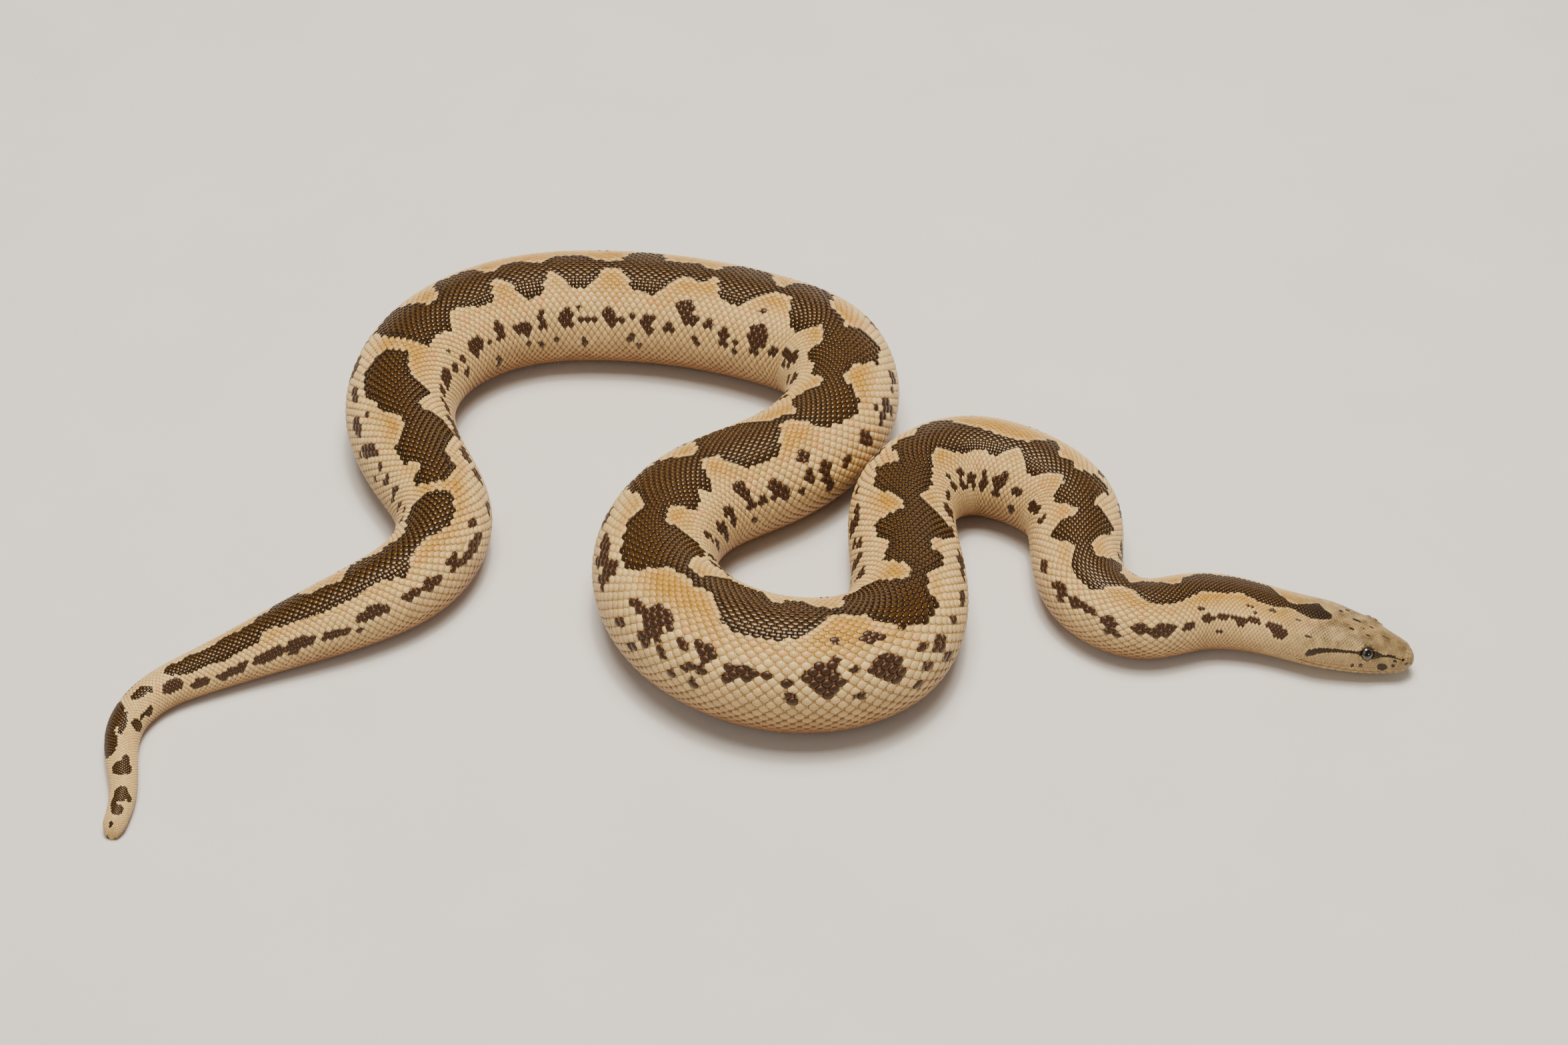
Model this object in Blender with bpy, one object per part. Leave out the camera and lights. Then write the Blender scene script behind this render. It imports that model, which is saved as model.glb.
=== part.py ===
"""A rough-scaled sand boa (Eryx conicus) at rest in loose coils, life size.

The body is one long loft along a route on the floor. Thin cuts part it into a tail, ten lengths of
trunk, a neck, a head and a lower jaw. Each eye is a ball in its own socket. Lengths are in
millimetres here and become metres where points are made. Places along the body are counted from
the tip of the tail, and places on the head from the tip of the snout.
"""

import math

import bmesh
import bpy
import numpy as np
from mathutils import Vector

MM = 0.001
GAP = 0.3  # clear space between neighbouring pieces

# Where the middle of the body lies on the floor, from the tip of the tail to the tip of the snout.
ROUTE = [
    (-127, -85), (-126, -76), (-128, -59), (-124, -51.5), (-115, -45.5), (-100, -38), (-85, -30.5),
    (-73.5, -21), (-70, -8), (-77, 8.5), (-82, 25), (-76.5, 43), (-60, 55), (-40, 57.5), (-20, 55),
    (-2, 49), (9, 41.5), (12.5, 31), (9.5, 18), (-4, 4.5), (-18, -4.5), (-26, -21), (-21, -37.5),
    (-9, -47.5), (6, -50.5), (20, -44.5), (24.5, -34), (24.5, -17), (26.5, 0), (36, 7.5), (50, 4.5),
    (59, -5), (61, -26), (71, -34), (82, -32), (103, -35.8), (125, -42.5),
]
MIDDLE = (-3.3, -7.44)  # the middle of the resting body's box, which becomes the origin

# Girth: place along the body, half width.
GIRTH = [
    (0, 2.1), (10, 2.6), (25, 3.5), (45, 4.7), (75, 8), (110, 10), (150, 12), (200, 12.6),
    (260, 12.4), (330, 12.5), (385, 13.5), (430, 11.3), (480, 10.4), (515, 8.6), (535, 8), (578, 7.6),
]
HEIGHT_TO_WIDTH = 0.9
WAIST_LEVEL = 0.45  # height of the widest place, as a share of the whole height
BELLY_SPREAD = 1.12  # the lower half is this much deeper than the floor allows, so it lies flat
TAIL_TIP_ROUND = 3.0

# Head: place behind the snout, half width, height of the crown, height of the chin, and a power
# that squares the outline where it is under 1.
HEAD = [
    (0, 3.1, 6.9, 1.3, 0.95), (2.5, 3.6, 7.4, 1.4, 0.90), (6, 4.7, 8.6, 1.3, 0.82),
    (10, 5.9, 9.8, 1.2, 0.80), (15, 6.9, 10.8, 1.1, 0.82), (20, 7.4, 11.4, 1.0, 0.86),
    (26, 7.4, 11.9, 0.8, 0.92), (36, 7.7, 12.8, 0.4, 1.0), (50, 8.3, 14.5, 0.0, 1.0),
]
SNOUT_ROUND = 3.5
BLEND_FROM, BLEND_TO = 26, 50  # behind the snout, the head's outline turns into the body's

TAIL_LENGTH = 55
HEAD_LENGTH = 28
NECK_LENGTH = 48
TRUNK_PIECES = 10

JAW_LENGTH = 21.4
MOUTH = [(-4, 2.5), (1.5, 2.7), (9, 3.2), (15, 3.9), (22, 4.8)]  # place, height of the lip line
MOUTH_REACH = 14  # half width of the cut, wider than any head

EYE_PLACE = 9.1
EYE_ANGLE = 57  # degrees round from the crown
EYE_ROLL = 2.5  # degrees by which the head's tilt turns both eyes to the left
EYE_RADIUS = 1.3
EYE_BULGE = 0.9  # half the thickness of the lens-shaped eye
EYE_DEPTH = 0.5  # how far the eye's centre lies under the skin

BODY_SIDES, HEAD_SIDES = 20, 28
BODY_STEP, HEAD_STEP = 5.4, 1.7
DOME_RINGS = 4

COLOURS = {  # base colour, roughness
    "trunk": ((0.42, 0.31, 0.19, 1), 0.5),
    "neck": ((0.45, 0.35, 0.22, 1), 0.5),
    "tail": ((0.36, 0.27, 0.18, 1), 0.5),
    "head": ((0.40, 0.33, 0.20, 1), 0.5),
    "lower_jaw": ((0.58, 0.45, 0.32, 1), 0.5),
    "eye": ((0.03, 0.02, 0.015, 1), 0.08),
}


def spline(knots, values, at):
    """The natural cubic spline through values at knots, read at each place in at."""
    knots, values, at = (np.asarray(item, float) for item in (knots, values, at))
    step = np.diff(knots)
    count = len(knots)
    system, right = np.eye(count), np.zeros_like(values)
    for i in range(1, count - 1):
        system[i, i - 1 : i + 2] = step[i - 1], 2 * (step[i - 1] + step[i]), step[i]
        rise = (values[i + 1] - values[i]) / step[i] - (values[i] - values[i - 1]) / step[i - 1]
        right[i] = 6 * rise
    bend = np.linalg.solve(system, right)
    i = np.clip(np.searchsorted(knots, at) - 1, 0, count - 2)
    wide = step[i].reshape(-1, *[1] * (values.ndim - 1))
    b = (at - knots[i]).reshape(wide.shape) / wide
    a = 1 - b
    curve = ((a**3 - a) * bend[i] + (b**3 - b) * bend[i + 1]) * wide**2 / 6
    return a * values[i] + b * values[i + 1] + curve


def table(rows, at):
    """Every column of a table after the first, read smoothly at each place in at."""
    rows = np.array(rows, float)
    return spline(rows[:, 0], rows[:, 1:], np.clip(at, rows[0, 0], rows[-1, 0]))


def walk_route():
    """Fine points along the route, and the length walked at each."""
    points = np.array(ROUTE) - MIDDLE
    knots = np.r_[0, np.cumsum(np.linalg.norm(np.diff(points, axis=0), axis=1))]
    fine = spline(knots, points, np.linspace(0, knots[-1], 3000))
    walked = np.r_[0, np.cumsum(np.linalg.norm(np.diff(fine, axis=0), axis=1))]
    return fine, walked


FINE, WALKED = walk_route()
LENGTH = WALKED[-1]
HALF_PACE = 0.5  # how far either side of a place its heading is read


def spot(place):
    """The middle of the body on the floor, and its heading, at a place along it or beyond an end."""
    inside = min(max(place, HALF_PACE), LENGTH - HALF_PACE)
    back, middle, on = (
        np.array([np.interp(inside + step, WALKED, FINE[:, axis]) for axis in (0, 1)])
        for step in (-HALF_PACE, 0, HALF_PACE)
    )
    heading = (on - back) / np.linalg.norm(on - back)
    return middle + heading * (place - inside), heading


def outline(place):
    """Half width, top, bottom and squareness of the body at a place along it."""
    behind = LENGTH - place
    half = table(GIRTH, [place])[0, 0]
    body = np.array([half, 2 * half * HEIGHT_TO_WIDTH, 0, 1])
    head = table(HEAD, [behind])[0]
    share = min(max((behind - BLEND_FROM) / (BLEND_TO - BLEND_FROM), 0), 1)
    share = share * share * (3 - 2 * share)
    half, top, bottom, square = body * share + head * (1 - share)
    for reach, rounding in ((place, TAIL_TIP_ROUND), (behind, SNOUT_ROUND)):
        if reach < rounding:
            swell = math.sqrt(1 - (1 - max(reach, 0) / rounding) ** 2)
            middle = (top + bottom) / 2 if rounding == SNOUT_ROUND else 0
            half, top, bottom = half * swell, middle + (top - middle) * swell, (
                middle + (bottom - middle) * swell
            )
    return half, top, bottom, square


def across(half, top, bottom, square, angle):
    """Sideways and upward place on the skin at an angle round from the crown."""
    side = math.copysign(abs(math.sin(angle)) ** square, math.sin(angle))
    up = math.copysign(abs(math.cos(angle)) ** square, math.cos(angle))
    waist = WAIST_LEVEL * (top - bottom)
    lift = waist + (top - bottom - waist) * up if up > 0 else waist * (1 + BELLY_SPREAD * up)
    return half * side, bottom + max(lift, 0)


def skin_point(place, angle, shift=0):
    """A point on the skin, moved along the body by shift with its ring kept whole."""
    middle, heading = spot(place)
    side, up = across(*outline(place), angle)
    left = np.array([-heading[1], heading[0]])
    x, y = middle + left * side + heading * shift
    return Vector((x * MM, y * MM, up * MM))


def material(name):
    colour, roughness = COLOURS[name]
    made = bpy.data.materials.new(name)
    made.use_nodes = True
    shader = made.node_tree.nodes["Principled BSDF"]
    shader.inputs["Base Color"].default_value = colour
    shader.inputs["Roughness"].default_value = roughness
    return made


def add_object(name, mesh, colour):
    made = bpy.data.objects.new(name, mesh)
    bpy.context.collection.objects.link(made)
    if colour:
        mesh.materials.append(material(colour))
    return made


def loft(name, rings, colour, first_tip=None, last_tip=None):
    """A closed skin over rings of points, ending in a point where a tip is given."""
    bm = bmesh.new()
    loops = [[bm.verts.new(point) for point in ring] for ring in rings]
    for low, high in zip(loops, loops[1:]):
        for i in range(len(low)):
            j = (i + 1) % len(low)
            bm.faces.new((low[i], low[j], high[j], high[i]))
    for loop, tip in ((loops[0][::-1], first_tip), (loops[-1], last_tip)):
        if tip is None:
            bm.faces.new(loop)
            continue
        point = bm.verts.new(tip)
        for i in range(len(loop)):
            bm.faces.new((loop[i], loop[(i + 1) % len(loop)], point))
    bmesh.ops.recalc_face_normals(bm, faces=bm.faces)
    mesh = bpy.data.meshes.new(name)
    bm.to_mesh(mesh)
    bm.free()
    mesh.shade_smooth()
    mesh.set_sharp_from_angle(angle=math.radians(50))
    return add_object(name, mesh, colour)


def body_length(name, start, end, colour, sides=BODY_SIDES, step=BODY_STEP):
    """One length of the body, with flat ends half a gap short of its places, or round tips."""
    tail_tip, snout_tip = start <= 0, end >= LENGTH
    low = start + TAIL_TIP_ROUND if tail_tip else start
    high = end - SNOUT_ROUND if snout_tip else end
    count = max(2, math.ceil((high - low) / step))
    places = list(np.linspace(low, high, count + 1))
    turns = [math.pi / 2 * i / DOME_RINGS for i in range(1, DOME_RINGS)]
    if tail_tip:
        places = [TAIL_TIP_ROUND * (1 - math.sin(t)) for t in turns[::-1]] + places
    if snout_tip:
        places = places + [LENGTH - SNOUT_ROUND * (1 - math.sin(t)) for t in turns]
    shifts = [0.0] * len(places)
    if not tail_tip:
        shifts[0] = GAP / 2
    if not snout_tip:
        shifts[-1] = -GAP / 2
    rings = [
        [skin_point(place, 2 * math.pi * i / sides, shift) for i in range(sides)]
        for place, shift in zip(places, shifts)
    ]
    first_tip = skin_point(0, 0) if tail_tip else None
    last_tip = skin_point(LENGTH, 0) if snout_tip else None
    return loft(name, rings, colour, first_tip, last_tip)


def under_mouth(name, margin):
    """A hidden solid that holds all below the lip line as far back as the corner of the mouth."""
    rings = []
    for back in np.linspace(JAW_LENGTH + margin, MOUTH[0][0], 9):
        middle, heading = spot(LENGTH - back)
        left = np.array([-heading[1], heading[0]]) * MOUTH_REACH
        lip = table(MOUTH, [back])[0, 0] + margin
        corners = [(middle + left, -3), (middle + left, lip), (middle - left, lip), (middle - left, -3)]
        rings.append([Vector((*(flat * MM), level * MM)) for flat, level in corners])
    return hide(loft(name, rings, None))


def hide(helper):
    helper.hide_render = True
    helper.display_type = "WIRE"
    return helper


def boolean(target, helper, operation):
    modifier = target.modifiers.new(helper.name, "BOOLEAN")
    modifier.operation = operation
    modifier.solver = "EXACT"
    modifier.object = helper


def lens(name, centre, outward, radius, bulge, colour, segments=16):
    """A ball flattened along its outward direction."""
    bm = bmesh.new()
    bmesh.ops.create_uvsphere(bm, u_segments=segments, v_segments=segments // 2 + 2, radius=1)
    size = Vector((radius, radius, bulge)) * MM
    bmesh.ops.scale(bm, vec=size, verts=bm.verts)
    mesh = bpy.data.meshes.new(name)
    bm.to_mesh(mesh)
    bm.free()
    mesh.shade_smooth()
    made = add_object(name, mesh, colour)
    made.location = centre
    made.rotation_euler = outward.to_track_quat("Z", "Y").to_euler()
    return made


def eye_place(side):
    """The middle of the eye and the way that it looks, square to the skin."""
    place, angle = LENGTH - EYE_PLACE, math.radians(side * EYE_ANGLE + EYE_ROLL)
    small = 0.05
    along = skin_point(place + small, angle) - skin_point(place - small, angle)
    around = skin_point(place, angle + small) - skin_point(place, angle - small)
    outward = along.cross(around).normalized()
    if outward.z < 0:
        outward.negate()
    return skin_point(place, angle) - outward * EYE_DEPTH * MM, outward


def make_body():
    neck_end = LENGTH - HEAD_LENGTH
    neck_start = neck_end - NECK_LENGTH
    body_length("tail", 0, TAIL_LENGTH, "tail")
    cuts = np.linspace(TAIL_LENGTH, neck_start, TRUNK_PIECES + 1)
    for number, (start, end) in enumerate(zip(cuts, cuts[1:]), 1):
        body_length(f"trunk_{number:02d}", start, end, "trunk")
    body_length("neck", neck_start, neck_end, "neck")


def make_head():
    start = LENGTH - HEAD_LENGTH
    head = body_length("head", start, LENGTH, "head", HEAD_SIDES, HEAD_STEP)
    jaw = body_length("lower_jaw", start, LENGTH, "lower_jaw", HEAD_SIDES, HEAD_STEP)
    boolean(head, under_mouth("mouth_in_head", GAP / 2), "DIFFERENCE")
    boolean(jaw, under_mouth("mouth_in_jaw", -GAP / 2), "INTERSECT")
    for name, side in (("eye_left", 1), ("eye_right", -1)):
        centre, outward = eye_place(side)
        lens(name, centre, outward, EYE_RADIUS, EYE_BULGE, "eye")
        socket = lens(f"{name}_socket", centre, outward, EYE_RADIUS + GAP, EYE_BULGE + GAP, None)
        boolean(head, hide(socket), "DIFFERENCE")


for old in list(bpy.data.objects):
    bpy.data.objects.remove(old)
make_body()
make_head()
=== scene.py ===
import math

import bpy
import numpy as np
from mathutils import Matrix, Vector


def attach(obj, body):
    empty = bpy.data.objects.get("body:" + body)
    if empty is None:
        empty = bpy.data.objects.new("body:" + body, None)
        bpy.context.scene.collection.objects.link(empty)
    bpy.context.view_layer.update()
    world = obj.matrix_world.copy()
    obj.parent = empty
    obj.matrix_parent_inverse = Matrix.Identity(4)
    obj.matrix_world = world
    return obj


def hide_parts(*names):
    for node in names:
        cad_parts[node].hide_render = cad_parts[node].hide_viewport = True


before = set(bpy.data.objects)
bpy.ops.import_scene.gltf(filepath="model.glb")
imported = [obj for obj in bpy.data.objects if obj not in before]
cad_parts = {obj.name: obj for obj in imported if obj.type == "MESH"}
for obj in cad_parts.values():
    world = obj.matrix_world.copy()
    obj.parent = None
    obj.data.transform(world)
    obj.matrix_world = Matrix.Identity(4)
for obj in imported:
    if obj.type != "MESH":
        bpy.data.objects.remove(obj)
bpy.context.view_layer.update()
print("frame in:", len(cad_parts), "nodes")

# The resting snake. Places run along the body in millimetres from the tip of the tail, and
# angles run round it in degrees from the crown, above zero to its left and below to its right.
snake = {
    "route": [
        (-127, -85), (-126, -76), (-128, -59), (-124, -51.5), (-115, -45.5), (-100, -38),
        (-85, -30.5), (-73.5, -21), (-70, -8), (-77, 8.5), (-82, 25), (-76.5, 43), (-60, 55),
        (-40, 57.5), (-20, 55), (-2, 49), (9, 41.5), (12.5, 31), (9.5, 18), (-4, 4.5),
        (-18, -4.5), (-26, -21), (-21, -37.5), (-9, -47.5), (6, -50.5), (20, -44.5),
        (24.5, -34), (24.5, -17), (26.5, 0), (36, 7.5), (50, 4.5), (59, -5), (61, -26),
        (71, -34), (82, -32), (103, -35.8), (125, -42.5),
    ],
    "middle": (-3.3, -7.44),
    "girth": [  # place, half width
        (0, 2.1), (10, 2.6), (25, 3.5), (45, 4.7), (75, 8), (110, 10), (150, 12), (200, 12.6),
        (260, 12.4), (330, 12.5), (385, 13.5), (430, 11.3), (480, 10.4), (515, 8.6), (535, 8),
        (578, 7.6),
    ],
    "head": [  # behind the snout, half width, crown, chin, squareness
        (0, 3.1, 6.9, 1.3, 0.95), (2.5, 3.6, 7.4, 1.4, 0.90), (6, 4.7, 8.6, 1.3, 0.82),
        (10, 5.9, 9.8, 1.2, 0.80), (15, 6.9, 10.8, 1.1, 0.82), (20, 7.4, 11.4, 1.0, 0.86),
        (26, 7.4, 11.9, 0.8, 0.92), (36, 7.7, 12.8, 0.4, 1.0), (50, 8.3, 14.5, 0.0, 1.0),
    ],
    "heightToWidth": 0.9, "waist": 0.45, "bellySpread": 1.12,
    "tailRound": 3.0, "snoutRound": 3.5, "blendFrom": 26, "blendTo": 50,
    "coatDepth": 0.026,  # how far inside the solids the skin lies, as a share of half width
    "skinLow": 0.12,  # the least height of the skin's underside
    "tip": 0.01, "headingReach": 0.5, "routeSteps": 3000,
}


def smoothCurve(knots, values, at):  # a natural cubic curve through the values
    knots, values, at = (np.asarray(item, float) for item in (knots, values, at))
    step = np.diff(knots)
    count = len(knots)
    system, right = np.eye(count), np.zeros_like(values)
    for i in range(1, count - 1):
        system[i, i - 1 : i + 2] = step[i - 1], 2 * (step[i - 1] + step[i]), step[i]
        rise = (values[i + 1] - values[i]) / step[i] - (values[i] - values[i - 1]) / step[i - 1]
        right[i] = 6 * rise
    bend = np.linalg.solve(system, right)
    i = np.clip(np.searchsorted(knots, at) - 1, 0, count - 2)
    wide = step[i].reshape(-1, *[1] * (values.ndim - 1))
    b = (at - knots[i]).reshape(wide.shape) / wide
    a = 1 - b
    curve = ((a**3 - a) * bend[i] + (b**3 - b) * bend[i + 1]) * wide**2 / 6
    return a * values[i] + b * values[i + 1] + curve


def readTable(rows, at):
    rows = np.array(rows, float)
    return smoothCurve(rows[:, 0], rows[:, 1:], np.clip(at, rows[0, 0], rows[-1, 0]))


def ruled(rows, at, **ends):  # straight lines from row to row
    return np.interp(at, *np.array(rows, float).T, **ends)


def smoothStep(share):
    return share * share * (3 - 2 * share)


def unit(rows):
    return rows / np.maximum(np.linalg.norm(rows, axis=-1, keepdims=True), 1e-9)


def walkAlong(points):
    return np.r_[0, np.cumsum(np.linalg.norm(np.diff(points, axis=0), axis=1))]


def walkRoute():
    points = np.array(snake["route"]) - snake["middle"]
    knots = walkAlong(points)
    fine = smoothCurve(knots, points, np.linspace(0, knots[-1], snake["routeSteps"]))
    return fine, walkAlong(fine)


routePoints, routeWalked = walkRoute()
snoutAt = routeWalked[-1]


def spotOn(place):  # the route's point there, and which way it heads
    reach = snake["headingReach"]
    inside = np.clip(place, reach, snoutAt - reach)
    read = [
        np.stack([np.interp(inside + step, routeWalked, routePoints[:, i]) for i in (0, 1)], -1)
        for step in (-reach, 0, reach)
    ]
    heading = unit(read[2] - read[0])
    return read[1] + heading * (place - inside)[:, None], heading


def rounding(reach, size):
    return np.sqrt(1 - (1 - np.clip(reach / size, 0, 1)) ** 2)


def halfWidth(place):
    return readTable(snake["girth"], place)[:, 0]


def outlineAt(place):  # half width, height of crown and of chin or belly, and squareness
    behind = snoutAt - place
    half = halfWidth(place)
    body = np.stack([half, 2 * half * snake["heightToWidth"], 0 * half, 1 + 0 * half], -1)
    share = (behind - snake["blendFrom"]) / (snake["blendTo"] - snake["blendFrom"])
    share = smoothStep(np.clip(share, 0, 1))[:, None]
    half, top, bottom, square = (body * share + readTable(snake["head"], behind) * (1 - share)).T
    tail, snout = rounding(place, snake["tailRound"]), rounding(behind, snake["snoutRound"])
    half, top, bottom = half * tail * snout, top * tail, bottom * tail
    middle = (top + bottom) / 2
    return half, middle + (top - middle) * snout, middle + (bottom - middle) * snout, square


def signedPower(value, power):
    return np.sign(value) * np.abs(value) ** power


def barePoint(place, angle):  # on the smooth solid
    middle, heading = spotOn(place)
    half, top, bottom, square = outlineAt(place)
    turn = np.radians(angle)
    side, up = signedPower(np.sin(turn), square), signedPower(np.cos(turn), square)
    waist = snake["waist"] * (top - bottom)
    above = waist + (top - bottom - waist) * up
    below = waist * (1 + snake["bellySpread"] * up)
    lift = np.where(up > 0, above, np.maximum(below, 0))
    left = np.stack([-heading[:, 1], heading[:, 0]], -1)
    flat = middle + left * (half * side)[:, None]
    return np.concatenate([flat, (bottom + lift)[:, None]], 1)


def surfaceFrame(where, place, angle, reach=0.06, turn=1.5):  # tangents, outward way, stretch
    along = where(place + reach, angle) - where(place - reach, angle)
    around = where(place, angle + turn) - where(place, angle - turn)
    stretch = np.linalg.norm(along, axis=-1) / (2 * reach)
    along, around = unit(along), unit(around)
    outward = unit(np.cross(along, around))
    return along, unit(np.cross(outward, along)), outward, stretch


# Features of the head: place behind the snout and degrees from the crown. The head is tilted
# a little, which turns the eyes and the nostrils of both sides to the left by the roll.
headParts = {
    "eye": (9.1, 57), "nostril": (1.95, 56.5), "roll": 2.5,
    "brow": (9.8, 38), "lore": (6, 70), "cheek": (18, 72),
    "lip": [(-4, 2.5), (1.5, 2.7), (9, 3.2), (15, 3.9), (22, 4.8)],  # height of the lip line
    "mouthEnd": 21.4, "mouthFade": 0.6, "foldsEnd": 32,
    # Folds round each: how far off the crest runs, how wide it is, how far it stands out.
    "folds": {
        "lip": [(0, 0.30, -0.42), (0.9, 0.6, 0.10), (-0.7, 0.5, 0.06)],
        "eye": [(1.75, 0.38, 0.16), (1.22, 0.22, -0.25)],
        "nostril": [(0.62, 0.25, 0.10), (0, 0.36, -0.55)],
        "brow": [(0, 1.5, 0.30)], "lore": [(0, 1.7, -0.25)], "cheek": [(0, 3.2, 0.25)],
    },
}


def headSpots(name):  # on the left side and on the right
    behind, angle = headParts[name]
    roll = headParts["roll"] if name in ("eye", "nostril") else 0
    return barePoint(np.full(2, snoutAt - behind), np.array([angle, -angle]) + roll)


featureSpots = {name: headSpots(name) for name in ("eye", "nostril", "brow", "lore", "cheek")}


def lipHeight(behind):
    return readTable(headParts["lip"], behind)[:, 0]


def foldsAt(name, distance):
    return sum(high * np.exp(-(((distance - crest) / wide) ** 2))
               for crest, wide, high in headParts["folds"][name])


def carving(point, behind):  # how far the head's folds stand out of the smooth solid
    out = np.zeros(len(point))
    near = behind < headParts["foldsEnd"]
    spot, back = point[near], behind[near]
    mouth = 1 / (1 + np.exp((back - headParts["mouthEnd"]) / headParts["mouthFade"]))
    shape = foldsAt("lip", spot[:, 2] - lipHeight(back)) * mouth
    for name, sides in featureSpots.items():
        for middle in sides:
            shape += foldsAt(name, np.linalg.norm(spot - middle, axis=1))
    out[near] = shape
    return out


def skinPoint(place, angle, shift=0.0):  # on the carved skin under the coat
    point = barePoint(place, angle)
    outward = surfaceFrame(barePoint, place, angle)[2]
    heading = np.pad(spotOn(place)[1], ((0, 0), (0, 1)))
    outward = np.where((place > snoutAt - snake["tip"])[:, None], heading, outward)
    outward = np.where((place < snake["tip"])[:, None], -heading, outward)
    depth = snake["coatDepth"] * halfWidth(place)
    point = point + outward * (carving(point, snoutAt - place) - depth + shift)[:, None]
    point[:, 2] = np.maximum(point[:, 2], snake["skinLow"])
    return point


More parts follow.
